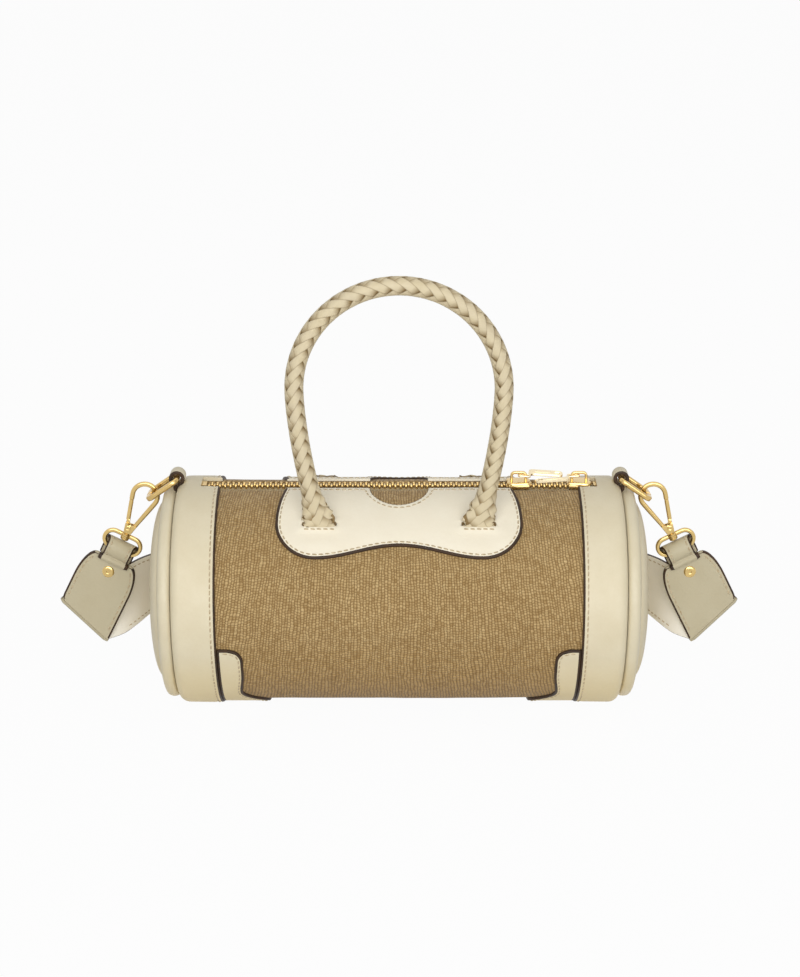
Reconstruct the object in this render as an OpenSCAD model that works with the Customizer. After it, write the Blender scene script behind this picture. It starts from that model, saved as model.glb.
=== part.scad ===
// Small barrel bag with a woven body, leather ends, two braided handles and a clip-on shoulder strap.
// Origin: on the table, under the middle of the bag. +X along the barrel, +Y to the back, +Z up.

/* [Body] */
// Outside radius of the woven barrel
body_r = 54.5; // [50:0.5:60]
// Thickness of the woven fabric
fabric_t = 1.2; // [0.8:0.1:1.8]
// Half the length of the woven barrel, to the seam with the end caps
seam_x = 108.3; // [98:0.1:120]
// Thickness of the stiffening board behind the fabric
board_t = 1; // [0.6:0.1:1.6]
// Thickness of the lining cloth
lining_t = 0.4; // [0.3:0.1:0.8]
// Half the width of the flat strip that the barrel rests on
rest_half_w = 6; // [3:0.5:9]

/* [Leather ends] */
// Width of the leather band at each end
band_w = 21.3; // [14:0.1:30]
// Thickness of the band leather
band_t = 1.9; // [1.2:0.1:2.4]
// How far the resting flat cuts into the bands
band_flat = 0.45; // [0.3:0.05:0.7]
// Drop of the rounded shoulder at the band's outer end
shoulder_drop = 3.8; // [2:0.1:4.5]
// Length of the rounded shoulder
shoulder_len = 4.5; // [3:0.1:6]
// How far the padded roll round each end stays inside the barrel's radius
roll_step = 0.9; // [0.2:0.1:4]
// Width of the padded roll along the barrel
roll_w = 6.4; // [4:0.1:8]
// Height of the padded roll's section
roll_h = 8.6; // [6:0.1:12]
// How far the end panel domes out beyond the roll
dome_h = 6.8; // [4:0.1:10]
// Thickness of the end panel at its edge
end_panel_t = 3; // [2:0.1:4]

/* [Base patches] */
// Thickness of the leather patches under the corners
base_patch_t = 1.2; // [0.8:0.1:1.6]
// Angle from the lowest line up to each patch's upper edge
base_patch_angle = 79; // [60:1:85]
// Reach of the patch beyond the band, under the bag
base_reach_under = 23; // [15:0.5:30]
// Reach beyond the band at the narrow waist
base_reach_waist = 10.9; // [8:0.1:13]
// Reach beyond the band at the lobe on the front
base_reach_lobe = 12.3; // [9:0.1:15]
// Radius of the patch's upper corner
base_corner_r = 7; // [4:0.5:9]

/* [Handle patches] */
// Thickness of the leather handle patches
patch_t = 1.2; // [0.8:0.1:1.6]
// Half the width of a handle patch at its widest
patch_half_w = 59; // [52:0.5:66]
// Half the width of a handle patch along the zip
patch_top_half_w = 55; // [50:0.5:58]
// Depth of a handle patch down to its two lobes
patch_drop = 46; // [40:0.5:52]
// Radius of the patch's lower outer corners
patch_corner_r = 19; // [14:0.5:22]
// How far the middle of the lower edge rises above the lobes
patch_rise = 6.5; // [3:0.5:9]
// Half the width of the notch in the upper edge
notch_half_w = 14.2; // [10:0.2:18]
// Depth of the notch
notch_d = 15; // [10:0.5:20]
// Distance from the zip edge down to the handle slits
slit_drop = 27.6; // [24:0.2:31]
// Length of a handle slit
slit_len = 16.6; // [14:0.2:20]
// Width of a handle slit
slit_w = 2.8; // [2:0.1:3.4]

/* [Handles] */
// Half the distance between the two legs at the slits
handle_foot_x = 38; // [34:0.5:42]
// Radius of the handle's arch
arch_r = 48.7; // [44:0.1:54]
// Height of the arch's centre above the slits
arch_h = 64.8; // [56:0.2:76]
// Power of the curve that draws the legs in towards the slits
leg_power = 1.6; // [1.2:0.1:2.2]
// Radius of the braid
braid_r = 4.5; // [3.6:0.1:5.2]
// Width of the flattened foot of the braid
foot_w = 16; // [14:0.2:18]
// Thickness of the flattened foot of the braid
foot_t = 2.6; // [2:0.1:3.2]
// Length over which the foot turns into round braid
flare_len = 22; // [16:1:28]
// How far a handle falls from upright until it meets the bag
handle_fall = 121; // [100:1:122]
// Length of the sewn tail inside the bag
tail_len = 14; // [8:0.5:18]
// Thickness of the sewn tail
tail_t = 0.8; // [0.5:0.1:0.9]

/* [Zip] */
// Distance from the seam at each end to the zip opening
zip_end_gap = 10.3; // [8:0.1:14]
// Half the width of the gap between the leather edges
zip_gap = 7; // [6.4:0.1:8]
// Pitch of the teeth on one side
tooth_pitch = 2.6; // [2:0.1:4]
// Width of a tooth along the zip
tooth_w = 1.1; // [0.6:0.05:1.2]
// Height of the teeth
tooth_h = 1.9; // [1.2:0.1:2.2]
// Reach of a tooth from the middle to its outer side
tooth_out = 3.2; // [2.6:0.1:3.6]
// Reach of a tooth past the middle, between its neighbours
tooth_in = 0.9; // [0.5:0.1:1.2]
// Thickness of the zip tape
tape_t = 0.6; // [0.4:0.1:0.9]
// Half the width of the closed tapes
tape_half_w = 12; // [10:0.5:15]

/* [Zip sliders] */
// Distance of the right slider from the zip's end
slider_end_gap = 10; // [8:0.5:14]
// Distance between the two sliders
slider_pitch = 29.5; // [26:0.5:48]
// Length of a slider's body
slider_len = 11.6; // [9:0.1:12.4]
// Half the width of a slider's body
slider_half_w = 5.4; // [4.6:0.1:5.8]
// Thickness of a slider's plate
slider_t = 1.5; // [1:0.1:2]
// Height of the crown that holds the pull
crown_h = 4.6; // [3.8:0.1:5.4]
// Length of the crown
crown_len = 8.4; // [7:0.1:9]
// Width of the crown
crown_w = 2; // [1.4:0.1:2.2]
// Thickness of the crown's arch
crown_t = 1.2; // [0.9:0.1:1.4]
// Length of the flat pull, from its eye to its tip
pull_len = 22; // [16:0.5:23]
// Width of the flat pull
pull_w = 4; // [3:0.1:4.6]
// Thickness of the flat pull
pull_t = 1.2; // [0.9:0.1:1.5]
// Thickness of the wire eye of the pull
eye_wire = 1; // [0.8:0.05:1.1]
// How far a resting pull slopes down to its tip
pull_slope = 4; // [2:0.5:4.5]

/* [Ring and its tab] */
// Radius of the ring's wire
ring_wire_r = 1.55; // [1.2:0.05:1.7]
// Distance between the two long bars of the ring, between their centres
ring_len = 16.8; // [14:0.1:18]
// Half the distance between the two sides of the ring, between their centres
ring_half_w = 7; // [6.8:0.1:9]
// Corner radius of the ring, at the wire's centre
ring_corner_r = 2.6; // [2.2:0.1:4]
// Slope of the resting ring below level
ring_slope = 34.8; // [32:0.2:37]
// Height of the ring's inner bar above the top of the barrel
ring_rise = 4.2; // [3.6:0.1:5.5]
// Width of the leather tab that holds the ring
tab_w = 8.4; // [6:0.1:8.6]
// Thickness of the tab's leather
tab_t = 1.9; // [1.4:0.1:2.1]
// Clearance of the ring's bar in the tab
tab_gap = 0.5; // [0.35:0.05:0.7]

/* [Snap hook] */
// Distance of the hook's swivel out from the seam
hook_out = 26.6; // [25.5:0.1:27.7]
// Distance of the hook's swivel below the ring's inner bar
hook_drop = 30.1; // [29.3:0.1:30.9]
// Lean of the hook away from upright
hook_lean = 27; // [25:0.5:29]
// Distance from the swivel to the middle of the hook's bow
bow_u = 22.6; // [21.8:0.1:23.4]
// Radius of the bow, at the wire's centre
bow_r = 6.1; // [5.8:0.1:6.6]
// Taper of the hook's arms towards the swivel
bow_taper = 14.4; // [12:0.2:16]
// Radius of the hook's wire
hook_wire_r = 1.25; // [1:0.05:1.35]
// Length of the fixed nose below the bow
nose_len = 2.8; // [2:0.1:3.4]
// Length of the hook's arms below the bow
arm_len = 14.9; // [14:0.1:15.6]
// Thickness of the hook's base block
block_t = 4.2; // [3.8:0.1:4.8]
// Radius of the gate's pin
pin_r = 0.8; // [0.6:0.05:0.9]
// Running clearance of the gate on its pin
pin_gap = 0.05; // [0.02:0.01:0.09]
// Angle that the gate opens inwards
gate_open = 22; // [12:1:24]

/* [Swivel loop] */
// Radius of the loop's wire
loop_wire_r = 1.2; // [1:0.05:1.3]
// Distance between the loop's two bars, between their centres
loop_h = 8.6; // [8:0.1:9.4]
// Half the length of the loop's straight bars
loop_half_bar = 5; // [4:0.1:6.5]
// Radius of the swivel stem
stem_r = 1.3; // [1.1:0.05:1.4]
// Radius of the swivel hub and of the head under it
hub_r = 2.4; // [2.1:0.1:2.7]

/* [Strap] */
// Width of the strap
strap_w = 30; // [26:0.5:32]
// Thickness of the strap
strap_t = 2; // [1.4:0.1:2.4]
// Width of the leather tab that carries the swivel loop
strap_tab_w = 14.5; // [11:0.5:16]
// Thickness of that tab's leather
strap_tab_t = 1.7; // [1.2:0.1:1.9]
// Outside radius of the tab's roll round the loop
strap_tab_r = 5.2; // [4.6:0.1:5.3]
// Half the width of the strap's narrow end
strap_neck_half_w = 9; // [7:0.5:11]
// Length over which the narrow end widens to the full strap
strap_shoulder = 16; // [12:0.5:20]
// Radius of the rivet that closes the strap's end
rivet_r = 3; // [2:0.1:3.6]
// Half the length of the folded strap's runs behind the bag
pile_half_len = 66; // [50:1:70]
// Distance between neighbouring runs of the folded strap
pile_pitch = 8; // [7:0.5:9]
// Distance of the first run from the barrel
pile_gap = 7.5; // [6.5:0.5:12]

/* [Hidden] */

$fn = 48;

// Clearances between pieces
seat_gap = 0.05;
part_gap = 0.3;
slide_gap = 0.1;
cut = 1;

// Heights and radii that follow from the sizes above
band_r = body_r + seat_gap + band_t;
axis_z = band_r - band_flat;
board_r = body_r - fabric_t - seat_gap;
lining_r = board_r - board_t - seat_gap;
band_in_x = seam_x - band_w;
zip_len = 2 * (seam_x - zip_end_gap);
slider_right_x = zip_len / 2 - slider_end_gap;
slider_left_x = slider_right_x - slider_pitch;
end_x = seam_x + part_gap + roll_w;
board_end_x = seam_x - shoulder_len;
rest_end_gap = 4 * base_patch_t;
rest_half_len = band_in_x - base_reach_under - rest_end_gap;
end_stack_x = board_end_x - 2 * part_gap;
roll_r = body_r - roll_step;
roll_in_r = roll_r - roll_h;
ring_z = axis_z + body_r + ring_rise;
hook_x = seam_x + hook_out;
hook_z = ring_z - hook_drop;
pile_y = body_r + pile_gap;

// Places on the barrel, as angles above the front level line
patch_in_r = body_r + seat_gap;
patch_r = patch_in_r + patch_t;
patch_top_a = acos(zip_gap / patch_r);
function drop_angle(d) = patch_top_a - d / patch_r * 180 / PI;
slit_a = drop_angle(slit_drop);
patch_mid_a = drop_angle(patch_drop / 2);

// The handle's hinge line, just above the slit
foot_r = foot_t / 2;
hinge_r = patch_r + foot_r + part_gap;
hinge_y = hinge_r * cos(slit_a);
hinge_z = axis_z + hinge_r * sin(slit_a);
leg_in = arch_r - handle_foot_x;

// Levels of the zip
tape_out_r = board_r;
tape_top_z = axis_z + tape_out_r;
tooth_bottom_z = tape_top_z + seat_gap;
tooth_top_z = tooth_bottom_z + tooth_h;
slider_bottom_z = tooth_top_z + seat_gap + slide_gap;
slider_top_z = slider_bottom_z + slider_t;
crown_top_z = slider_top_z + crown_h;
pull_axis_z = crown_top_z - crown_t - eye_wire / 2 - part_gap;
slider_flange_w = slider_half_w - tooth_out - part_gap;
pull_side = (crown_w + pull_w) / 2 + eye_wire + 2 * part_gap;

// The swivel loop and the strap's end, in the hook's own frame
loop_out_r = loop_h / 2;
loop_u = -loop_h - part_gap;
block_low_u = hub_r / 2;
tab_roll_u = loop_u;
tab_low_u = tab_roll_u - strap_tab_r;
leaf_top_u = tab_low_u - part_gap;
leaf_wide_u = leaf_top_u - strap_shoulder;
rivet_share = 2.4;
rivet_u = leaf_top_u - rivet_share * rivet_r;
strap_half_w = strap_w / 2;
fold_high_u = leaf_wide_u - strap_half_w;
fold_slope_share = 0.35;
fold_low_u = fold_high_u - strap_w * fold_slope_share;

// A place in the hook's frame, as x and z of the right-hand side
function hung(p) = [
    hook_x + p[0] * cos(hook_lean) - p[1] * sin(hook_lean),
    hook_z + p[0] * sin(hook_lean) + p[1] * cos(hook_lean)
];
fold_out = hung([strap_half_w, fold_high_u]);
fold_in = hung([-strap_half_w, fold_low_u]);

// Shapes along the barrel

module along_barrel(len) {
    translate([0, 0, axis_z]) rotate([90, 0, 90]) linear_extrude(len, center = true) children();
}

module round_barrel() {
    translate([0, 0, axis_z]) rotate([0, 90, 0]) rotate_extrude($fn = 96) children();
}

module on_side(side) {
    if (side < 0) mirror([1, 0, 0]) children();
    else children();
}

module on_face(face) {
    if (face > 0) mirror([0, 1, 0]) children();
    else children();
}

// Lays its children at an angle on the front of the barrel, with their Z pointing out of it
module at_angle(a) {
    translate([0, 0, axis_z]) rotate([90 - a, 0, 0]) children();
}

module zip_cut(half_w) {
    translate([-zip_len / 2, -half_w, axis_z]) cube([zip_len, 2 * half_w, band_r + cut]);
}

module slit_cuts(w, t) {
    for (face = [-1, 1], side = [-1, 1])
        on_face(face) at_angle(slit_a)
            translate([side * handle_foot_x - w / 2, -t / 2, body_r / 2]) cube([w, t, body_r]);
}

// The flat strip that the barrel rests on, tangent to the round barrel at both sides
module rest_strip(r, flat_z) {
    far = sqrt(rest_half_w * rest_half_w + flat_z * flat_z);
    touch_a = atan(rest_half_w / flat_z) + acos(r / far);
    difference() {
        polygon([
            [-rest_half_w, -flat_z], [rest_half_w, -flat_z],
            [r * sin(touch_a), -r * cos(touch_a)], [-r * sin(touch_a), -r * cos(touch_a)]
        ]);
        circle(r = r - fabric_t / 2, $fn = 96);
    }
}

module shell_between(r_in, r_out, len) {
    along_barrel(len) difference() {
        circle(r = r_out, $fn = 96);
        circle(r = r_in, $fn = 96);
    }
}

module body_panel() {
    color([0.65, 0.53, 0.35]) difference() {
        union() {
            shell_between(body_r - fabric_t, body_r, 2 * board_end_x);
            along_barrel(2 * rest_half_len) rest_strip(body_r, axis_z);
        }
        zip_cut(zip_gap);
        slit_cuts(slit_len, slit_w);
    }
}

// Pocket in the board for the sewn tails of the handles
module tail_block(w, low, high, r_in, r_out) {
    for (side = [-1, 1])
        at_angle(slit_a) translate([side * handle_foot_x - w / 2, -low, r_in]) cube([w, low + high, r_out - r_in]);
}

module body_board() {
    color([0.8, 0.78, 0.72]) difference() {
        shell_between(board_r - board_t, board_r, 2 * board_end_x);
        zip_cut(tape_half_w + part_gap);
        for (face = [-1, 1])
            on_face(face) tail_block(foot_w + 2 * part_gap, tail_len + part_gap, foot_t / 2,
                board_r - board_t - cut, body_r);
    }
}

module lining_tube() {
    color([0.75, 0.7, 0.6]) difference() {
        shell_between(lining_r - lining_t, lining_r, 2 * end_stack_x);
        zip_cut(tape_half_w + part_gap);
    }
}

// The leather tab's seat at the seam, cut out of the band and the roll
module tab_seat() {
    seat_w = tab_w + 2 * part_gap;
    seat_len = 2 * tab_t + 2 * part_gap;
    translate([seam_x - seat_len / 2, -seat_w / 2, axis_z + body_r - 2 * tab_t])
        cube([seat_len, seat_w, 2 * body_r]);
}

module band(side) {
    in_r = body_r + seat_gap;
    low_r = band_r - shoulder_drop;
    color([0.9, 0.86, 0.75]) on_side(side) difference() {
        round_barrel() polygon(concat(
            [[in_r, band_in_x], [band_r, band_in_x]],
            [for (a = [0:15:90]) [
                low_r + shoulder_drop * cos(a),
                seam_x - shoulder_len + shoulder_len * sin(a)
            ]],
            [[low_r - part_gap, seam_x], [low_r - part_gap, board_end_x + part_gap],
                [in_r, board_end_x + part_gap]]
        ));
        zip_cut(zip_gap);
        tab_seat();
        translate([0, -band_r, -band_r]) cube([seam_x + cut, 2 * band_r, band_r]);
    }
}

// Half-round section of the padded roll: shares of its width out from the seam and of its height
roll_shares = [[0, 0], [0, 0.86], [0.06, 0.94], [0.2, 0.99], [0.36, 1], [0.52, 0.97], [0.66, 0.89],
    [0.78, 0.76], [0.88, 0.58], [0.95, 0.36], [1, 0.12], [1, 0]];

module end_roll(side) {
    color([0.88, 0.84, 0.72]) on_side(side) difference() {
        round_barrel() polygon([for (s = roll_shares) [roll_in_r + s[1] * roll_h, seam_x + part_gap + s[0] * roll_w]]);
        tab_seat();
    }
}

module end_panel(side) {
    edge_r = roll_in_r - seat_gap;
    steps = 10;
    color([0.9, 0.86, 0.75]) on_side(side) round_barrel() polygon(concat(
        [[0, end_x - end_panel_t]],
        [[edge_r, end_x - end_panel_t]],
        [for (i = [0:steps]) [edge_r * cos(90 * i / steps), end_x + dome_h * sin(90 * i / steps)]]
    ));
}

module end_board(side) {
    color([0.7, 0.66, 0.58]) on_side(side)
        translate([end_stack_x - board_t, 0, axis_z]) rotate([0, 90, 0]) cylinder(r = lining_r - lining_t - part_gap,
            h = board_t, $fn = 96);
}

module lining_end(side) {
    color([0.75, 0.7, 0.6]) on_side(side)
        translate([end_stack_x - board_t - seat_gap - lining_t, 0, axis_z]) rotate([0, 90, 0])
            cylinder(r = lining_r - lining_t - part_gap, h = lining_t, $fn = 96);
}

// How far a base patch reaches beyond the band, at an angle from the lowest line
lobe_angle_share = 0.8;
waist_angle_share = 0.58;
under_angle_share = 0.3;
function ease(t) = (1 - cos(180 * min(1, max(0, t)))) / 2;
function base_reach(a) =
    let (share = abs(a) / base_patch_angle,
        corner_share = base_corner_r / (base_patch_angle / 180 * PI * body_r),
        corner = max(0, (share - 1 + corner_share) / corner_share))
    (share < waist_angle_share
        ? base_reach_under + (base_reach_waist - base_reach_under)
            * ease((share - under_angle_share) / (waist_angle_share - under_angle_share))
        : base_reach_waist + (base_reach_lobe - base_reach_waist)
            * ease((share - waist_angle_share) / (lobe_angle_share - waist_angle_share)))
    - base_corner_r * (1 - sqrt(max(0, 1 - corner * corner)));

// Ring of points in a plane square to XZ: its middle, its outward direction there and its half sizes
function oval_ring(c, d, half, sides) = [for (k = [0:sides - 1]) let (a = 360 * k / sides)
    [c[0] + d[0] * half[0] * cos(a), half[1] * sin(a), c[1] + d[1] * half[0] * cos(a)]];
function flat_ring(c, d, r, sides) = oval_ring(c, d, [r, r], sides);

// Faces between two neighbouring rings of points that start at p and at q
function ring_band(p, q, sides) = [for (k = [0:sides - 1], t = [0, 1])
    t == 0 ? [p + k, p + (k + 1) % sides, q + (k + 1) % sides] : [p + k, q + (k + 1) % sides, q + k]];

// Solid cord skinned over a list of rings
module skinned(rings) {
    n = len(rings);
    sides = len(rings[0]);
    polyhedron(
        [for (r = rings) each r],
        concat(
            [[for (k = [sides - 1:-1:0]) k]],
            [for (i = [0:n - 2]) each ring_band(sides * i, sides * (i + 1), sides)],
            [[for (k = [0:sides - 1]) sides * (n - 1) + k]]
        ),
        convexity = 6
    );
}

// A closed tube skinned over rings of four corners each
function ring_faces(rings) = concat(
    [[0, 1, 2], [0, 2, 3]],
    [for (i = [0:rings - 2], k = [0:3]) [4 * i + k, 4 * (i + 1) + k, 4 * (i + 1) + (k + 1) % 4]],
    [for (i = [0:rings - 2], k = [0:3]) [4 * i + k, 4 * (i + 1) + (k + 1) % 4, 4 * i + (k + 1) % 4]],
    [[4 * rings - 4, 4 * rings - 2, 4 * rings - 3], [4 * rings - 4, 4 * rings - 1, 4 * rings - 2]]
);

module base_patch(side) {
    steps = 48;
    in_r = body_r + 2 * seat_gap;
    out_r = in_r + base_patch_t;
    x_in = band_in_x - part_gap / 2;
    angles = [for (i = [0:steps]) base_patch_angle * (2 * i / steps - 1)];
    points = [for (a = angles, c = [[x_in, in_r], [x_in, out_r], [band_in_x - base_reach(a), out_r],
        [band_in_x - base_reach(a), in_r]]) [c[0], c[1] * sin(a), axis_z - c[1] * cos(a)]];
    color([0.86, 0.82, 0.68]) on_side(side) polyhedron(points, ring_faces(steps + 1));
}

// Outline of a handle patch: across the bag, and down from the zip edge
function patch_side(steps) = [for (i = [0:steps]) let (t = i / steps) [
    patch_top_half_w + (patch_half_w - patch_top_half_w) * sin(90 * t),
    t * (patch_drop - patch_corner_r)
]];
function patch_corner(steps) = [for (i = [1:steps]) let (a = 90 * i / steps) [
    patch_half_w - patch_corner_r * (1 - cos(a)),
    patch_drop - patch_corner_r * (1 - sin(a))
]];
function patch_arch(steps) = [for (i = [1:steps]) let (t = i / steps, x = patch_half_w - patch_corner_r) [
    x * (1 - t), patch_drop - patch_rise * ease(t)
]];
function patch_notch(steps) = [for (i = [0:steps]) let (a = 90 * i / steps) [
    notch_half_w * sin(a), notch_d * cos(a)
]];
patch_half = concat(patch_side(4), patch_corner(8), patch_arch(8));
notch_half = patch_notch(8);
function mirrored(list) = [for (i = [len(list) - 1:-1:0]) [-list[i][0], list[i][1]]];
patch_points = concat(notch_half, patch_half, mirrored(patch_half), mirrored(notch_half));

// The outline seen along the patch's middle direction
function seen(p) = [p[0], patch_r * sin(drop_angle(p[1]) - patch_mid_a)];

module handle_patch(face) {
    color([0.91, 0.87, 0.77]) on_face(face) difference() {
        intersection() {
            shell_between(patch_in_r, patch_r, 2 * body_r + patch_half_w);
            at_angle(patch_mid_a) translate([0, 0, body_r / 3]) linear_extrude(body_r)
                polygon([for (p = patch_points) seen(p)]);
        }
        slit_cuts(slit_len, slit_w);
    }
}

// The handle's fixed ends: a stub in each slit and the tail sewn behind the fabric
module handle_tails(face) {
    tail_top_r = body_r - fabric_t - seat_gap;
    stub_t = foot_t - 2 * part_gap;
    color([0.85, 0.78, 0.62]) on_face(face) {
        intersection() {
            tail_block(foot_w, tail_len, 0, board_r - board_t - cut, body_r);
            shell_between(tail_top_r - tail_t, tail_top_r, 2 * body_r + patch_half_w);
        }
        for (side = [-1, 1])
            at_angle(slit_a) translate([side * handle_foot_x - foot_w / 2, -stub_t / 2, tail_top_r - tail_t])
                cube([foot_w, stub_t, patch_r - tail_top_r + tail_t]);
    }
}

// Centre line of a standing handle, from one foot over the arch to the other: x and height
function leg(h) = arch_r - leg_in * pow((arch_h - h) / arch_h, leg_power);
leg_steps = 8;
arch_steps = 16;
foot_sunk_share = 0.9;
foot_low = -foot_sunk_share * foot_r;
handle_line = concat(
    [[handle_foot_x, foot_low]],
    [for (i = [0:leg_steps - 1]) let (h = arch_h * i / leg_steps) [leg(h), h]],
    [for (i = [0:arch_steps]) let (a = 180 * i / arch_steps) [arch_r * cos(a), arch_h + arch_r * sin(a)]],
    [for (i = [leg_steps - 1:-1:0]) let (h = arch_h * i / leg_steps) [-leg(h), h]],
    [[-handle_foot_x, foot_low]]
);

// Half sizes of the braid's section at a height: across the leg and front to back
function flare(h) = h > arch_h ? 1 : ease(min(1, max(0, h) / flare_len));
foot_tip_share = 0.5;
function braid_half(h) = [
    braid_r + (foot_w / 2 - braid_r) * (1 - flare(h)),
    (braid_r + (foot_r - braid_r) * (1 - flare(h))) * (h < 0 ? foot_tip_share : 1)
];

function cross_dir(i) =
    let (n = len(handle_line), a = handle_line[max(0, i - 1)], b = handle_line[min(n - 1, i + 1)], d = b - a)
    i < 2 || i > n - 3 ? [-1, 0] : [-d[1], d[0]] / norm(d);

// One ring of points round the handle's line
function handle_ring(i, sides) =
    oval_ring(handle_line[i], cross_dir(i), braid_half(handle_line[i][1]), sides);

// Stands a handle on its hinge line, turned by an angle from upright
module on_hinge(face, fall) {
    on_face(face) translate([0, -hinge_y, hinge_z]) rotate([fall, 0, 0]) children();
}

module handle_braid(face, fall) {
    color([0.87, 0.8, 0.66]) on_hinge(face, fall)
        skinned([for (i = [0:len(handle_line) - 1]) handle_ring(i, 16)]);
}

module zip_tape(face) {
    color([0.72, 0.62, 0.42]) on_face(face) intersection() {
        shell_between(tape_out_r - tape_t, tape_out_r, zip_len - 2 * part_gap);
        translate([-zip_len / 2, -tape_half_w, axis_z]) cube([zip_len, tape_half_w - part_gap, band_r]);
    }
}

tooth_count = floor((slider_right_x + zip_len / 2 - slider_len / 2) / tooth_pitch);
first_tooth_x = -zip_len / 2 + 2 * tooth_pitch;

module zip_teeth(face) {
    offset_x = face > 0 ? tooth_pitch / 2 : 0;
    color([0.85, 0.72, 0.42]) on_face(face) for (i = [0:tooth_count])
        translate([first_tooth_x + i * tooth_pitch + offset_x - tooth_w / 2, -tooth_out, tooth_bottom_z])
            cube([tooth_w, tooth_out + tooth_in, tooth_h]);
}

module zip_stops() {
    stop_len = tooth_pitch;
    color([0.85, 0.72, 0.42]) for (x = [first_tooth_x - tooth_pitch - stop_len / 2,
        zip_len / 2 - stop_len - part_gap])
        translate([x, -tooth_out, tooth_bottom_z]) cube([stop_len, 2 * tooth_out, tooth_h]);
}

module slider(x) {
    arch_gap_h = crown_h - crown_t;
    color([0.92, 0.8, 0.5]) translate([x, 0, 0]) {
        translate([-slider_len / 2, -slider_half_w, slider_bottom_z]) cube([slider_len, 2 * slider_half_w, slider_t]);
        for (face = [-1, 1])
            on_face(face) translate([-slider_len / 2, -slider_half_w, tape_top_z + part_gap])
                cube([slider_len, slider_flange_w, slider_bottom_z - tape_top_z]);
        difference() {
            translate([-crown_len / 2, -crown_w / 2, slider_top_z]) cube([crown_len, crown_w, crown_h]);
            translate([-crown_len / 2 + crown_t, -crown_w, slider_top_z])
                cube([crown_len - 2 * crown_t, 2 * crown_w, arch_gap_h]);
        }
    }
}

// A pull lying along the zip beside the crown, hung by a wire eye through the crown
module pull(x, dir, face) {
    eye_out = norm([crown_len / 2, crown_top_z - pull_axis_z]) + eye_wire / 2 + part_gap;
    eye_y = crown_w / 2 + part_gap;
    color([0.95, 0.84, 0.56]) translate([x, 0, pull_axis_z]) on_side(dir) on_face(face)
        rotate([0, pull_slope, 0]) {
            translate([0, eye_y + eye_wire / 2, 0]) rotate([90, 0, 0])
                cylinder(r = eye_wire / 2, h = 2 * eye_y + eye_wire);
            translate([-eye_wire / 2, -eye_y - eye_wire, -eye_wire / 2])
                cube([eye_out + eye_wire, eye_wire, eye_wire]);
            translate([-eye_wire / 2, eye_y, -eye_wire / 2]) cube([eye_out + eye_wire, eye_wire, eye_wire]);
            translate([eye_out - eye_wire / 2, -pull_side - pull_w / 2, -eye_wire / 2])
                cube([eye_wire, pull_side + pull_w / 2 + eye_y + eye_wire, eye_wire]);
            translate([eye_out, -pull_side - pull_w / 2, -pull_t / 2]) cube([pull_len - eye_out, pull_w, pull_t]);
        }
}

tab_in_r = ring_wire_r + tab_gap;
tab_out_r = tab_in_r + tab_t;
tab_turn_a = 30;

module ring_tab(side) {
    foot_z = axis_z + body_r - 2 * tab_t + part_gap;
    tail_half = tab_t - part_gap / 2;
    pinch_z = axis_z + band_r - part_gap;
    color([0.88, 0.83, 0.7]) on_side(side) translate([seam_x, tab_w / 2, 0]) rotate([90, 0, 0])
        difference() {
            linear_extrude(tab_w) polygon(concat(
                [for (a = [-tab_turn_a:10:180 + tab_turn_a]) [tab_out_r * cos(a), ring_z + tab_out_r * sin(a)]],
                [[-tail_half, pinch_z], [-tail_half, foot_z], [tail_half, foot_z], [tail_half, pinch_z]]
            ));
            translate([0, ring_z, -cut]) cylinder(r = tab_in_r, h = tab_w + 2 * cut);
        }
}

module quarter_bend(bend_r, wire_r) {
    rotate_extrude(angle = 90) translate([bend_r, 0]) circle(r = wire_r);
}

// Flat ring of round wire in the XY plane, its first bar along Y through the origin
module wire_rectangle(len, half_w, corner_r, wire_r) {
    for (y = [-half_w, half_w])
        translate([corner_r, y, 0]) rotate([0, 90, 0]) cylinder(r = wire_r, h = len - 2 * corner_r);
    for (x = [0, len])
        translate([x, half_w - corner_r, 0]) rotate([90, 0, 0]) cylinder(r = wire_r, h = 2 * (half_w - corner_r));
    translate([len - corner_r, half_w - corner_r, 0]) quarter_bend(corner_r, wire_r);
    translate([corner_r, half_w - corner_r, 0]) rotate([0, 0, 90]) quarter_bend(corner_r, wire_r);
    translate([corner_r, corner_r - half_w, 0]) rotate([0, 0, 180]) quarter_bend(corner_r, wire_r);
    translate([len - corner_r, corner_r - half_w, 0]) rotate([0, 0, 270]) quarter_bend(corner_r, wire_r);
}

module ring(side) {
    color([0.93, 0.8, 0.5]) on_side(side) translate([seam_x, 0, ring_z]) rotate([0, ring_slope, 0])
        wire_rectangle(ring_len, ring_half_w, ring_corner_r, ring_wire_r);
}

// Places its children in the hook's frame: Z up the hook, X away from the bag
module on_hook(side) {
    on_side(side) translate([hook_x, 0, hook_z]) rotate([0, -hook_lean, 0]) children();
}

// Straight wire between two points of the hook's plane
module wire_between(a, b, r) {
    d = b - a;
    translate([a[0], 0, a[1]]) rotate([0, atan2(d[0], d[1]), 0]) cylinder(r = r, h = norm(d));
}

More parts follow.
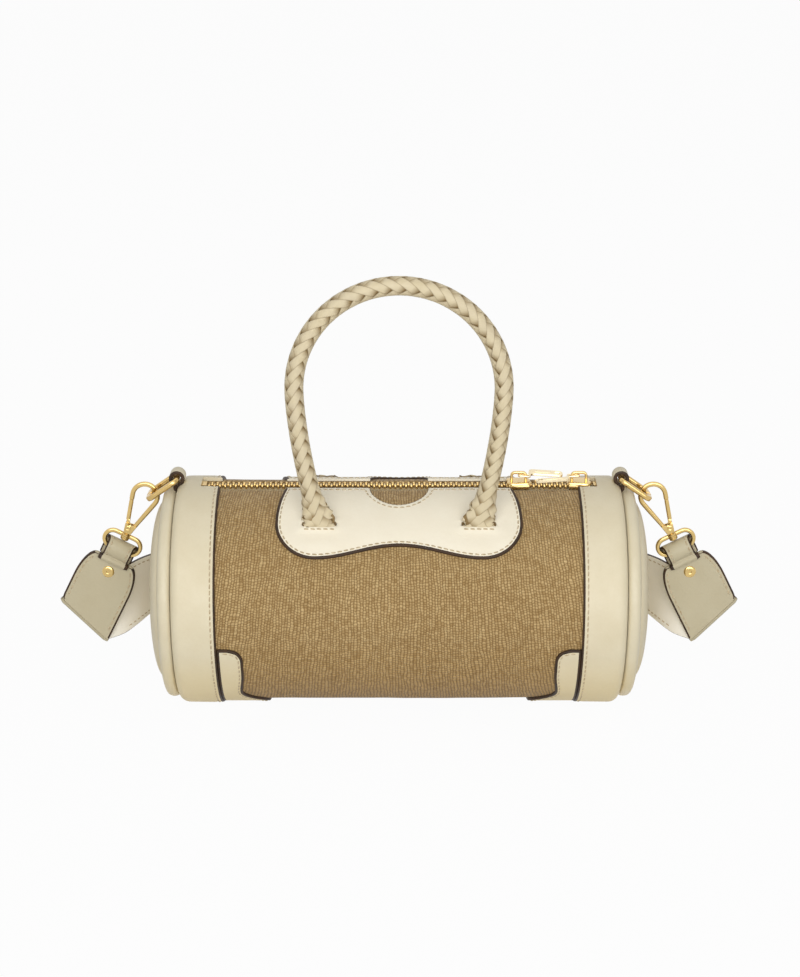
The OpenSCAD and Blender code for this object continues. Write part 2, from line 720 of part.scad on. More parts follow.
bow_end = [bow_r * cos(bow_taper), bow_u - bow_r * sin(bow_taper)];
arm_dir = [-sin(bow_taper), -cos(bow_taper)];
arm_foot = bow_end + arm_len * arm_dir;
nose_end = bow_end + nose_len * arm_dir;
gate_tip = nose_end + part_gap * arm_dir;
arm_sunk_share = 1.5;
arm_sunk = arm_sunk_share * hook_wire_r;
pivot_share = 2.4;
pivot_u = block_low_u + pivot_share * hook_wire_r;
pivot_x = hook_wire_r / 2;
block_top_u = pivot_u + 2 * hook_wire_r;
gate_foot = [arm_foot[0] + part_gap, block_top_u + hook_wire_r + part_gap];
ear_wall_share = 0.6;
ear_share = 0.29;
slot_share = 0.57;
ear_r = pin_r + ear_wall_share * hook_wire_r;
ear_t = block_t * ear_share;
slot_t = block_t * slot_share;
ear_y = -slot_t / 2 + slide_gap;
spring_t = slot_t - ear_t - 3 * slide_gap;

block_foot_share = 1.3;
block_wide_share = 2.4;

module hook_block() {
    foot_half = hook_wire_r * block_foot_share;
    wide_half = hook_wire_r * block_wide_share;
    translate([0, block_t / 2, 0]) rotate([90, 0, 0]) linear_extrude(block_t) polygon([
        [-foot_half, block_low_u], [foot_half, block_low_u], [hook_wire_r * 2, pivot_u],
        [wide_half, block_top_u], [-wide_half, block_top_u], [-hook_wire_r * 2, pivot_u]
    ]);
}

// The hook's wire from inside the block, up the fixed arm and over the bow to the nose, with the
// outward direction at each point
bow_steps = 24;
bow_path = concat(
    [[[-arm_foot[0], arm_foot[1]] + arm_sunk * [-arm_dir[0], arm_dir[1]], [-cos(bow_taper), -sin(bow_taper)]]],
    [for (i = [0:bow_steps]) let (a = 180 + bow_taper - i * (180 + 2 * bow_taper) / bow_steps)
        [[bow_r * cos(a), bow_u + bow_r * sin(a)], [cos(a), sin(a)]]],
    [[nose_end, [cos(bow_taper), -sin(bow_taper)]]]
);

hub_low_share = 0.6;
head_share = 0.9;

module hook(side) {
    head_h = hub_r * hub_low_share;
    hub_low = -hub_r * hub_low_share - part_gap / 3;
    color([0.92, 0.8, 0.5]) on_hook(side) difference() {
        union() {
            hook_block();
            skinned([for (p = bow_path) flat_ring(p[0], p[1], hook_wire_r, 16)]);
            translate([0, 0, hub_low]) cylinder(r = stem_r, h = block_low_u - hub_low + slide_gap);
            translate([0, 0, hub_low - head_h]) cylinder(r = hub_r * head_share, h = head_h);
        }
        translate([pivot_x - ear_r - part_gap, -slot_t / 2, pivot_u - ear_r - part_gap])
            cube([4 * hook_wire_r + 2 * ear_r, slot_t, block_top_u]);
        translate([pivot_x, block_t, pivot_u]) rotate([90, 0, 0]) cylinder(r = pin_r, h = 2 * block_t);
    }
}

gate_share = 0.92;
lever_half_share = 0.8;

module gate(side) {
    reach = gate_foot - [pivot_x, pivot_u];
    color([0.9, 0.78, 0.48]) on_hook(side) difference() {
        union() {
            wire_between(gate_foot, gate_tip, hook_wire_r * gate_share);
            translate([gate_foot[0], 0, gate_foot[1]]) sphere(r = hook_wire_r * gate_share);
            translate([pivot_x, ear_y + ear_t, pivot_u]) rotate([90, 0, 0]) cylinder(r = ear_r, h = ear_t);
            translate([pivot_x, ear_y, pivot_u]) rotate([0, atan2(reach[0], reach[1]), 0])
                translate([-hook_wire_r * lever_half_share, 0, 0])
                    cube([2 * hook_wire_r * lever_half_share, ear_t, norm(reach)]);
        }
        translate([pivot_x, block_t, pivot_u]) rotate([90, 0, 0]) cylinder(r = pin_r + pin_gap, h = 2 * block_t);
    }
}

pin_head_share = 1.5;

module gate_pin(side) {
    color([0.86, 0.74, 0.45]) on_hook(side) {
        translate([pivot_x, block_t / 2, pivot_u]) rotate([90, 0, 0]) cylinder(r = pin_r, h = block_t);
        for (face = [-1, 1])
            on_face(face) translate([pivot_x, -block_t / 2, pivot_u]) rotate([90, 0, 0])
                cylinder(r = pin_head_share * pin_r, h = pin_r / 2);
    }
}

// Coil of the gate's spring, wound round the pin beside the ear
module gate_spring(side) {
    color([0.7, 0.7, 0.72]) on_hook(side)
        translate([pivot_x, ear_y + ear_t + slide_gap + spring_t, pivot_u]) rotate([90, 0, 0]) difference() {
            cylinder(r = ear_r - slide_gap, h = spring_t);
            translate([0, 0, -cut]) cylinder(r = pin_r + 2 * pin_gap, h = spring_t + 2 * cut);
        }
}

module swivel_loop(side) {
    top_u = loop_u + loop_h;
    hub_low = -hub_r * hub_low_share;
    hub_top = block_low_u - part_gap / 2;
    color([0.93, 0.81, 0.52]) on_hook(side) difference() {
        union() {
            for (u = [loop_u, top_u])
                translate([-loop_half_bar, 0, u]) rotate([0, 90, 0]) cylinder(r = loop_wire_r, h = 2 * loop_half_bar);
            for (s = [-1, 1])
                translate([s * loop_half_bar, 0, loop_u + loop_out_r]) rotate([90, 0, 0])
                    rotate([0, 0, s > 0 ? -90 : 90]) rotate_extrude(angle = 180)
                        translate([loop_out_r, 0]) circle(r = loop_wire_r);
            translate([0, 0, hub_low]) cylinder(r = hub_r, h = hub_top - hub_low);
        }
        translate([0, 0, hub_low - cut]) cylinder(r = stem_r + pin_gap, h = hub_top - hub_low + 2 * cut);
    }
}

tail_share = 1.6;

module strap_tab(side) {
    in_r = strap_tab_r - strap_tab_t;
    tail_y = strap_t / 2 + seat_gap;
    color([0.88, 0.83, 0.7]) on_hook(side) difference() {
        union() {
            translate([-strap_tab_w / 2, 0, tab_roll_u]) rotate([0, 90, 0]) cylinder(r = strap_tab_r, h = strap_tab_w);
            translate([-strap_tab_w / 2, tail_y, rivet_u - tail_share * rivet_r])
                cube([strap_tab_w, strap_tab_t, tab_roll_u - rivet_u + tail_share * rivet_r]);
        }
        translate([-strap_tab_w, 0, tab_roll_u]) rotate([0, 90, 0]) cylinder(r = in_r, h = 2 * strap_tab_w);
        rivet_hole();
    }
}

module rivet_hole() {
    translate([0, strap_w, rivet_u]) rotate([90, 0, 0]) cylinder(r = rivet_r / 2, h = 2 * strap_w);
}

module strap_rivet(side) {
    head_t = rivet_r / 4;
    stack = strap_t + seat_gap + strap_tab_t;
    color([0.85, 0.7, 0.4]) on_hook(side) translate([0, stack - strap_t / 2, rivet_u]) rotate([90, 0, 0]) {
        cylinder(r = rivet_r / 2, h = stack);
        translate([0, 0, stack]) cylinder(r = rivet_r, h = head_t);
        translate([0, 0, -head_t]) cylinder(r = rivet_r, h = head_t);
    }
}

// The strap's end as cut: a narrow neck that widens to the strap and ends at the slanting fold
module strap_leaf(side) {
    steps = 8;
    shoulder = [for (i = [0:steps]) let (a = 90 * i / steps) [
        strap_neck_half_w + (strap_half_w - strap_neck_half_w) * sin(a),
        leaf_wide_u + strap_shoulder * cos(a)
    ]];
    on_hook(side) difference() {
        translate([0, strap_t / 2, 0]) rotate([90, 0, 0]) linear_extrude(strap_t) polygon(concat(
            shoulder, [[strap_half_w, fold_high_u], [-strap_half_w, fold_low_u]], mirrored(shoulder)
        ));
        rivet_hole();
    }
}

// The strap's route behind the bag: lower edge and upper edge at each ring, right-hand end first.
// The places are chosen by eye, as shares of the hook's distance, the first run's and the hook's height.
strap_back_y = (strap_t + part_gap) / 2 + strap_t / 2;
function edge_pair(x, y, z) = [[x, y, z], [x, y, z + strap_w]];
function placed(share) = [share[0] * hook_x, share[1] * pile_y, share[2] * hook_z];
function stood(share) = [placed(share), placed(share) + [0, 0, strap_w]];
turning_shares = [
    [[1.03, 0.081, 0.355], [1.149, 0.058, 0.686]],
    [[0.986, 0.194, 0.384], [1.053, 0.161, 0.733]],
    [[0.949, 0.355, 0.402], [0.979, 0.339, 0.762]]
];
side_shares = [[0.904, 0.548, 0.408]];
right_shares = [
    [0.882, 0.742, 0.402], [0.86, 0.935, 0.378], [0.823, 1.129, 0.337],
    [0.764, 1.306, 0.284], [0.682, 1.435, 0.219], [0.593, 1.5, 0.148]
];
left_shares = [
    [0.878, 0.75, 0.408], [0.844, 0.903, 0.404],
    [0.782, 0.984, 0.39], [0.697, 1, 0.366]
];
fold_rings = concat(
    [[[fold_in[0], strap_back_y, fold_in[1]], [fold_out[0], strap_back_y, fold_out[1]]]],
    [for (s = turning_shares) [placed(s[0]), placed(s[1])]],
    [for (s = side_shares) stood(s)]
);
right_rings = concat(fold_rings, [for (s = right_shares) stood(s)]);
left_rings = concat(fold_rings, [for (s = left_shares) stood(s)]);
function flip_x(rings) = [for (r = rings) [for (p = r) [-p[0], p[1], p[2]]]];

run_count = 5;
turn_steps = 6;
descent_steps = 10;
function run_y(i) = pile_y + i * pile_pitch;
descent_share = 0.8;
first_ring = left_rings[len(left_rings) - 1][0];
first_run = [for (i = [1:descent_steps]) let (t = i / descent_steps)
    edge_pair(t * (pile_half_len + first_ring[0]) - first_ring[0], run_y(0),
        first_ring[2] * (1 - ease(t / descent_share)))];
function turn(i) = let (s = i % 2 == 0 ? 1 : -1) [for (k = [1:turn_steps])
    let (a = 180 * k / turn_steps, r = pile_pitch / 2)
    edge_pair(s * (pile_half_len + r * sin(a)), run_y(i) + r * (1 - cos(a)), 0)];
function run_middle(i) = [edge_pair(0, run_y(i), 0)];
run_start_share = 0.9;
function run_start(i) =
    let (s = i % 2 == 0 ? -1 : 1) [edge_pair(s * pile_half_len * run_start_share, run_y(i), 0)];
last_shares = [[0.3, 0], [0.6, 0.02], [0.82, 0.1], [1.01, 0.23]];
last_run = [for (s = last_shares) edge_pair(s[0] * pile_half_len, run_y(run_count - 1), s[1] * strap_w)];
pile_rings = [for (i = [0:run_count - 2]) each concat(turn(i), run_start(i + 1),
    i < run_count - 2 ? run_middle(i + 1) : [])];
function reversed(list) = [for (i = [len(list) - 1:-1:0]) list[i]];
strap_rings = concat(flip_x(left_rings), first_run, pile_rings, last_run, reversed(right_rings));

// Level direction across the strap at a ring, from its neighbours
function ring_middle(r) = (r[0] + r[1]) / 2;
function across(i) =
    let (n = len(strap_rings), a = ring_middle(strap_rings[max(0, i - 1)]),
        b = ring_middle(strap_rings[min(n - 1, i + 1)]), d = [b[0] - a[0], b[1] - a[1], 0],
        c = [d[1], -d[0], 0] / norm(d))
    i == 0 || i == n - 1 ? [0, -1, 0] : c;

module strap_run() {
    points = [for (i = [0:len(strap_rings) - 1], s = [[0, -1], [1, -1], [1, 1], [0, 1]])
        strap_rings[i][s[0]] + across(i) * s[1] * strap_t / 2];
    polyhedron(points, ring_faces(len(strap_rings)), convexity = 12);
}

module strap_fold(side) {
    d = fold_out - fold_in;
    on_side(side) translate([fold_in[0], strap_back_y / 2, fold_in[1]]) rotate([0, atan2(d[0], d[1]), 0])
        cylinder(r = strap_back_y / 2 + strap_t / 2, h = norm(d));
}

module strap() {
    color([0.86, 0.81, 0.68]) union() {
        for (side = [-1, 1]) {
            strap_leaf(side);
            strap_fold(side);
        }
        strap_run();
    }
}

body_panel();
body_board();
lining_tube();
band(-1);  // band_left
band(1);  // band_right
end_roll(-1);  // end_roll_left
end_roll(1);  // end_roll_right
end_panel(-1);  // end_panel_left
end_panel(1);  // end_panel_right
end_board(-1);  // end_board_left
end_board(1);  // end_board_right
lining_end(-1);  // lining_end_left
lining_end(1);  // lining_end_right
base_patch(-1);  // base_patch_left
base_patch(1);  // base_patch_right
handle_patch(-1);  // handle_patch_front
handle_patch(1);  // handle_patch_rear
handle_tails(-1);  // handle_tails_front
handle_tails(1);  // handle_tails_rear
handle_braid(-1, 0);  // handle_front
handle_braid(1, handle_fall);  // handle_rear
zip_tape(-1);  // zip_tape_front
zip_tape(1);  // zip_tape_rear
zip_teeth(-1);  // zip_teeth_front
zip_teeth(1);  // zip_teeth_rear
zip_stops();
slider(slider_left_x);  // slider_left
slider(slider_right_x);  // slider_right
pull(slider_left_x, 1, 1);  // pull_left
pull(slider_right_x, -1, -1);  // pull_right
ring_tab(-1);  // ring_tab_left
ring_tab(1);  // ring_tab_right
ring(-1);  // ring_left
ring(1);  // ring_right
hook(-1);  // hook_left
hook(1);  // hook_right
gate(-1);  // gate_left
gate(1);  // gate_right
gate_pin(-1);  // gate_pin_left
gate_pin(1);  // gate_pin_right
gate_spring(-1);  // gate_spring_left
gate_spring(1);  // gate_spring_right
swivel_loop(-1);  // swivel_loop_left
swivel_loop(1);  // swivel_loop_right
strap_tab(-1);  // strap_tab_left
strap_tab(1);  // strap_tab_right
strap_rivet(-1);  // strap_rivet_left
strap_rivet(1);  // strap_rivet_right
strap();
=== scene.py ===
from math import acos, asin, atan, copysign, cos, degrees, dist, exp, hypot, pi, sin, sqrt
from math import radians as rad
import bpy
import bmesh
import numpy as np
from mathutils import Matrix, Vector, noise
from mathutils.geometry import delaunay_2d_cdt


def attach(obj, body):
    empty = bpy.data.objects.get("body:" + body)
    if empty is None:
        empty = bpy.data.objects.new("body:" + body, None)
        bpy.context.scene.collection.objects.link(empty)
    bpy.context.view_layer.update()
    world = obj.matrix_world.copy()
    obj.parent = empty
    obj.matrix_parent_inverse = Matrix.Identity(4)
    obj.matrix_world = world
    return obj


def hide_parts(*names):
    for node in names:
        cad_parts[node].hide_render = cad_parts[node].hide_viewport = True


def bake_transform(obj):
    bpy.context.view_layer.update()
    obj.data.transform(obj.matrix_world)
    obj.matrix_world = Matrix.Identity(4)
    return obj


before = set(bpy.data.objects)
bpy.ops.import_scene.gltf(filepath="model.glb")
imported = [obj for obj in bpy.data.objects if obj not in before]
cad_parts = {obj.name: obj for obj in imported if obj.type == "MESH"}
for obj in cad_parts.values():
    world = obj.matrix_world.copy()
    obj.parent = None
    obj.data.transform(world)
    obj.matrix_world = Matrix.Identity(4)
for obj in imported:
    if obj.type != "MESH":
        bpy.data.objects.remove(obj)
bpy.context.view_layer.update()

# Sizes of the part, in millimetres, as in its source

MM = 0.001
# The barrel's radius, the height of its axis, and half the strip that it rests on
BODY_R, AXIS_Z, REST_HALF = 54.5, 56.0, 6.0
# An end band's inner edge, its seam, its radius outside and inside, and the length of its shoulder
BAND_IN_X, SEAM_X, BAND_R, BAND_UNDER_R, SHOULDER = 87.0, 108.3, 56.45, 54.56, 4.5
BOARD_END_X = SEAM_X - SHOULDER
# Half the width of the zip's gap, and the reach of its slot into a band
ZIP_GAP, ZIP_REACH = 7.0, 9.4
# A handle patch's underside and middle, the angle of its edge at the zip, and its thickness
PATCH_IN_R, PATCH_MID_R, PATCH_T = 54.55, 55.75, 1.2
PATCH_TOP_A = degrees(acos(ZIP_GAP / PATCH_MID_R))
TOP_EDGE_A = degrees(acos(ZIP_GAP / BODY_R))
# A handle's slit: distance below the zip's edge, distance from the middle, and half sizes
SLIT_S, SLIT_X, SLIT_HALF_W, SLIT_HALF_H = 27.6, 38.0, 8.3, 1.4
SLIT_A = PATCH_TOP_A - degrees(SLIT_S / PATCH_MID_R)
# A handle's hinge, its leg, the arch on the legs, how far they lean in, and how far they are sunk
HINGE_Y, HINGE_Z, LEG_H, ARCH_R, LEG_IN, FOOT_SINK = 33.3672, 102.6443, 64.8, 48.7, 10.7, 3.2
# The ring's and the hook's places, and how far the hook leans out
RING_Z, HOOK_X, HOOK_Z, LEAN = 114.7, 134.9, 84.6, rad(27)
# The strap, and the pile of its runs behind the bag
STRAP_W, PILE_Y, PILE_HALF, PILE_PITCH, PILE_RUNS = 30.0, 62.0, 66.0, 8.0, 4
# The hook's bow and its gate's pin, in the hook's own frame: out from the bag, and up the hook
GATE_PIN, BOW_U, BOW_R, TAPER = (0.625, 4.2), 22.6, 6.1, 14.4
SIDE = {-1: "left", 1: "right"}
FACE = {-1: "front", 1: "rear"}


# Numbers, lines and outlines

def unit(v):
    n = sqrt(sum(c * c for c in v))
    return tuple(c / n for c in v) if n > 1e-12 else (0.0,) * len(v)


def cross(a, b):
    return (a[1] * b[2] - a[2] * b[1], a[2] * b[0] - a[0] * b[2], a[0] * b[1] - a[1] * b[0])


def add(a, b, s=1.0):
    return tuple(p + q * s for p, q in zip(a, b))


def smooth(t):
    """Goes from 0 to 1 with a level start and end."""
    t = min(1.0, max(0.0, t))
    return t * t * (3 - 2 * t)


def ease(t):
    """Goes from 0 to 1 as half a cosine."""
    return (1 - cos(pi * min(1, max(0, t)))) / 2


def fall(t):
    """The drop of a quarter circle of radius 1 at a distance t from its middle."""
    return 1 - sqrt(max(0.0, 1 - t ** 2))


def signed_power(v, power):
    return copysign(abs(v) ** power, v)


def wobble(x, y, z):
    return noise.noise(Vector((x, y, z)))


def arc(cx, cy, r, a0, a1, n):
    """Points on a circle from angle a0 to a1, in n steps."""
    angles = [rad(a0 + (a1 - a0) * i / n) for i in range(n + 1)]
    return [(cx + r * cos(a), cy + r * sin(a)) for a in angles]


def run_lengths(points):
    """The distance along a line to each of its points."""
    out = [0.0]
    for a, b in zip(points, points[1:]):
        out.append(out[-1] + (Vector(b) - Vector(a)).length)
    return out


def spots(run, places):
    """The stretch, and the share along it, of each of these places along a line."""
    out, j = [], 0
    for d in places:
        while j < len(run) - 2 and run[j + 1] < d:
            j += 1
        out.append((j, min(1, max(0, (d - run[j]) / max(1e-9, run[j + 1] - run[j])))))
    return out


def resample(points, step, closed=True):
    """Points spaced evenly along a line."""
    p = [Vector(q) for q in points] + ([Vector(points[0])] if closed else [])
    run = run_lengths(p)
    n = max(3, int(round(run[-1] / step)))
    places = [run[-1] * i / n for i in range(n if closed else n + 1)]
    return [tuple(p[j].lerp(p[j + 1], t)) for j, t in spots(run, places)]


def smooth_line(points, times=1, closed=False):
    """Cuts the corners of a line."""
    for _ in range(times):
        cut, n = [], len(points)
        for i in range(n if closed else n - 1):
            a, b = points[i], points[(i + 1) % n]
            cut += [tuple(s * p + (1 - s) * q for p, q in zip(a, b)) for s in (0.75, 0.25)]
        points = cut if closed else [points[0]] + cut + [points[-1]]
    return points


def tangents(points):
    """The direction of an open line at each of its points."""
    last = len(points) - 1
    return [unit(add(points[min(last, i + 1)], points[max(0, i - 1)], -1)) for i in range(last + 1)]


def edge_distance(q, loop):
    """Distance of each 2-D point in q from a closed outline."""
    q = np.asarray(q, dtype=float).reshape(-1, 2)
    a = np.asarray(loop, dtype=float)
    d = np.roll(a, -1, axis=0) - a
    squared = np.maximum((d * d).sum(1), 1e-12)
    best = np.full(len(q), 1e9)
    for i in range(len(a)):
        t = np.clip(((q - a[i]) @ d[i]) / squared[i], 0, 1)
        r = q - (a[i] + t[:, None] * d[i])
        best = np.minimum(best, np.sqrt((r * r).sum(1)))
    return best


def inside_loop(q, loop):
    """Whether each 2-D point in q lies inside a closed outline."""
    q = np.asarray(q, dtype=float).reshape(-1, 2)
    a = np.asarray(loop, dtype=float)
    hit = np.zeros(len(q), dtype=bool)
    for (x1, y1), (x2, y2) in zip(a, np.roll(a, -1, axis=0)):
        between = (y1 > q[:, 1]) != (y2 > q[:, 1])
        with np.errstate(divide="ignore", invalid="ignore"):
            x = (x2 - x1) * (q[:, 1] - y1) / (y2 - y1) + x1
        hit ^= between & (q[:, 0] < x)
    return hit


def offset(loop, d):
    """An outline moved outwards by d, or inwards where d is negative."""
    area = sum(a[0] * b[1] - b[0] * a[1] for a, b in zip(loop, loop[1:] + loop[:1]))
    turn, out = (1 if area > 0 else -1), []
    for i, p in enumerate(loop):
        a, b = loop[i - 1], loop[(i + 1) % len(loop)]
        t = (b[0] - a[0], b[1] - a[1])
        length = hypot(*t) or 1
        out.append((p[0] + turn * t[1] / length * d, p[1] - turn * t[0] / length * d))
    return out


def inset(loop, d):
    """Points a distance d inside an outline, with those at tight corners left out."""
    moved_in = offset(loop, -d)
    return [p for p, e in zip(moved_in, edge_distance(moved_in, loop)) if e > d * 0.97]


# Meshes

def dress(ob, body, node):
    """Lets a piece ride on a body, and hides the node that it stands for."""
    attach(ob, body)
    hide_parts(node)


def mesh_piece(name, verts, faces, mats, face_mats, uvs=None, sharp=40):
    """Makes an object from places in millimetres, with smooth faces and sharp edges."""
    me = bpy.data.meshes.new(name)
    me.from_pydata([(x * MM, y * MM, max(0.0, z * MM)) for x, y, z in verts], [], faces)
    for m in mats:
        me.materials.append(m)
    me.polygons.foreach_set("material_index", face_mats)
    if uvs is not None:
        layer = me.uv_layers.new(name="UVMap")
        corners = np.empty(len(me.loops), dtype=np.int32)
        me.loops.foreach_get("vertex_index", corners)
        layer.data.foreach_set("uv", np.asarray(uvs, dtype=np.float32)[corners].ravel())
    bm = bmesh.new()
    bm.from_mesh(me)
    bmesh.ops.recalc_face_normals(bm, faces=bm.faces)
    bm.to_mesh(me)
    bm.free()
    me.polygons.foreach_set("use_smooth", [True] * len(me.polygons))
    me.set_sharp_from_angle(angle=rad(sharp))
    me.update()
    ob = bpy.data.objects.new(name, me)
    bpy.context.collection.objects.link(ob)
    return ob


class Shapes:
    """Collects closed shapes, each as (places, faces) or (places, faces, materials)."""

    def __init__(self):
        self.verts, self.faces, self.mats, self.uvs = [], [], [], []

    def put(self, shape, mat=0, uvs=None):
        verts, faces, *own = shape
        base = len(self.verts)
        self.verts.extend(verts)
        self.faces.extend(tuple(i + base for i in f) for f in faces)
        self.mats.extend(own[0] if own else [mat] * len(faces))
        self.uvs.extend(uvs or [(0.0, 0.0)] * len(verts))

    def mesh(self, name, mats, sharp):
        return mesh_piece(name, self.verts, self.faces, mats, self.mats, self.uvs, sharp)

    def make(self, name, node, word, mats, sharp, slot, body="bag"):
        """Makes the piece name_word, which stands for the node node_word."""
        dress(self.mesh(f"{name}_{word}", mats, sharp), body, f"{node}_{word}")


def grid_faces(rows, sides, looped=False):
    """Faces of rows of points that each close on themselves; looped joins the last row to the first."""
    out = []
    for i in range(rows if looped else rows - 1):
        a, b = i * sides, (i + 1) % rows * sides
        for j in range(sides):
            k = (j + 1) % sides
            out.append((a + j, a + k, b + k, b + j))
    return out


def tube_faces(rows, sides):
    """The same with flat ends."""
    ends = [tuple(range(sides)), tuple(range((rows - 1) * sides, rows * sides))]
    return grid_faces(rows, sides) + ends


# Section of a wire that is slightly flattened on four sides
WIRE = [(signed_power(cos(t), 0.62), signed_power(sin(t), 0.62)) for t in
    (2 * pi * (k + 0.5) / 20 for k in range(20))]


def wire(points, sizes, normal, closed=False):
    """A wire in the plane with this normal. sizes are its half width and half thickness,
    as one pair or one for each point."""
    n, m = len(points), len(WIRE)
    sizes = sizes if isinstance(sizes, list) else [sizes] * n
    ways = tangents(points[-1:] + points + points[:1])[1:-1] if closed else tangents(points)
    verts = []
    for p, way, (wide, thick) in zip(points, ways, sizes):
        side = unit(cross(way, normal))
        verts += [add(add(p, side, u * wide), normal, v * thick) for u, v in WIRE]
    faces = grid_faces(n, m, closed)
    for end in () if closed else (0, n - 1):
        faces += [(end * m + k, end * m + (k + 1) % m, len(verts)) for k in range(m)]
        verts.append(points[end])
    return verts, faces


def ribbon(mids, ups, outs, half_ws, half_t, bevel):
    """A strap with painted edges along points: ups point across it, outs out of its face."""
    near = bevel * 0.35
    verts = []
    for mid, up, out, w in zip(mids, ups, outs, half_ws):
        half = ((-w, 0.45), (near - w, 0.86), (bevel - w, 1.0), (w - bevel, 1.0), (w - near, 0.86), (w, 0.45))
        section = ((-w, -0.45),) + half + tuple((u, -q) for u, q in reversed(half[1:]))
        verts += [add(add(mid, up, u), out, q * half_t) for u, q in section]
    rows = len(mids)
    mats = [0 if j in (3, 9) else 1 for _ in range(rows - 1) for j in range(12)] + [1, 1]
    return verts, tube_faces(rows, 12), mats


def turned(profile, n, place):
    """Turns (radius, height) points about an axis; place(radius, angle, height) gives the
    place. A profile that ends where it starts becomes a ring."""
    looped = profile[0] == profile[-1]
    rows = profile[:-1] if looped else profile
    verts = [place(r, 2 * pi * k / n, h) for r, h in rows for k in range(n)]
    return verts, grid_faces(len(rows), n, True) if looped else tube_faces(len(rows), n)


def lathe(profile, n, at):
    """The same, with at(x, y, height)."""
    return turned(profile, n, lambda r, t, h: at(r * cos(t), r * sin(t), h))


def box(lo, hi, bevel, place):
    """A box with rounded edges; place(x, y, z) gives each corner's place."""
    bm = bmesh.new()
    bmesh.ops.create_cube(bm, size=1.0)
    for v in bm.verts:
        v.co = Vector([a + (c + 0.5) * (b - a) for a, b, c in zip(lo, hi, v.co)])
    bmesh.ops.bevel(bm, geom=bm.edges[:], offset=bevel, segments=2, profile=0.5, affect="EDGES")
    bm.verts.index_update()
    out = [place(*v.co) for v in bm.verts], [tuple(v.index for v in f.verts) for f in bm.faces]
    bm.free()
    return out


def sheet_patch(loop, place, thick, rounding, step, holes=(), paint=0, fine=1.0, bare=None):
    """A flat-cut sheet laid on a surface: rounded top edge, side wall and underside.
    place(p, h) gives the place of outline point p at height h above the underside. The edge
    is painted over a width of paint, apart from where bare(p) holds."""
    loop = resample(loop, fine)
    holes = [resample(h, fine) for h in holes]
    loops = [loop] + holes
    points, edges = [], []
    for lp in loops:
        base = len(points)
        points += lp
        edges += [(base + i, base + (i + 1) % len(lp)) for i in range(len(lp))]
    band = paint or rounding

    def away(q):
        return np.min([edge_distance(q, lp) for lp in loops], axis=0)

    def on_sheet(q, ok):
        ok = ok & inside_loop(q, loop)
        for h in holes:
            ok &= ~inside_loop(q, h)
        return [p for p, k in zip(q, ok) if k]

    def middle(f):
        return tuple(sum(flat[i][c] for i in f) / len(f) for c in (0, 1))

    for d in sorted({0.22, 0.5, band}):
        if d <= 0.95 * max(rounding, band) or d == band:
            ring = inset(loop, d) + [p for h in holes for p in offset(h, d)]
            points += on_sheet(ring, away(ring) > d * 0.97)
    xs, ys = zip(*loop)
    grid = [(x, y) for x in np.arange(min(xs), max(xs), step) for y in np.arange(min(ys), max(ys), step)]
    points += on_sheet(grid, away(grid) > rounding + 0.35 * step)
    cut = delaunay_2d_cdt([Vector(p) for p in points], edges, [], 1, 1e-5)
    flat = [(v.x, v.y) for v in cut[0]]
    middles = {middle(f): tuple(f) for f in cut[2]}
    kept = on_sheet(list(middles), np.ones(len(middles), dtype=bool))
    shares = [min(1.0, e / rounding) for e in away(flat)]
    verts = [place(p, thick - rounding * 0.75 * fall(1 - s)) for p, s in zip(flat, shares)]
    verts += [place(p, 0.0) for p in flat]
    n, faces, mats, sides = len(flat), [], [], {}

    def edge_mat(p):
        return 0 if not paint or bare and bare(p) else 1

    for mid, e in zip(kept, away(kept)):
        f = middles[mid]
        faces += [f, tuple(i + n for i in reversed(f))]
        mats += [edge_mat(mid) if e < band else 0, 0]
        sides.update({pair: None for pair in zip(f, f[1:] + f[:1])})
    for a, b in sides:
        if (b, a) not in sides:
            faces.append((b, a, a + n, b + n))
            mats.append(edge_mat(((flat[a][0] + flat[b][0]) / 2, (flat[a][1] + flat[b][1]) / 2)))
    return verts, faces, mats


# A thread's stitch: (place along it, width, height) at each row, and its section
STITCH_ROWS = [(-0.5, 0.15, -0.25), (-0.42, 0.75, 0.55), (-0.2, 1.0, 1.0)]
STITCH_ROWS += [(-at, wide, high) for at, wide, high in reversed(STITCH_ROWS)]
STITCH_SECTION = [(-1.0, -0.5), (-0.85, 0.25), (-0.4, 0.85), (0.4, 0.85), (0.85, 0.25), (1.0, -0.5)]


def stitch_row(shapes, line, normals, mat=2, pitch=3.0, length=2.35, width=0.8, height=0.45, closed=False):
    """Lays short threads along a line of places."""
    points, ups = [Vector(p) for p in line], [Vector(n) for n in normals]
    if closed:
        points.append(points[0])
        ups.append(ups[0])
    run = run_lengths(points)
    n = int(run[-1] / pitch)
    for j, t in spots(run, [run[-1] / n * (i + 0.5) for i in range(n)]):
        mid = points[j].lerp(points[j + 1], t)
        up = ups[j].lerp(ups[j + 1], t).normalized()
        way = (points[j + 1] - points[j]).normalized()
        way = (way - up * way.dot(up)).normalized()
        side = way.cross(up)
        way = (way + side * 0.06).normalized()
        verts = [tuple(mid + way * (at * length) + side * (a * wide * width / 2) + up * (b * high * height))
            for at, wide, high in STITCH_ROWS for a, b in STITCH_SECTION]
        shapes.put((verts, tube_faces(len(STITCH_ROWS), len(STITCH_SECTION))), mat)


# Materials

def rgb(r, g, b):
    """A colour as seen on a screen, from 0 to 255, in linear light."""
    return tuple(c / 12.92 if c <= 0.04045 else ((c + 0.055) / 1.055) ** 2.4
        for c in (r / 255, g / 255, b / 255)) + (1.0,)


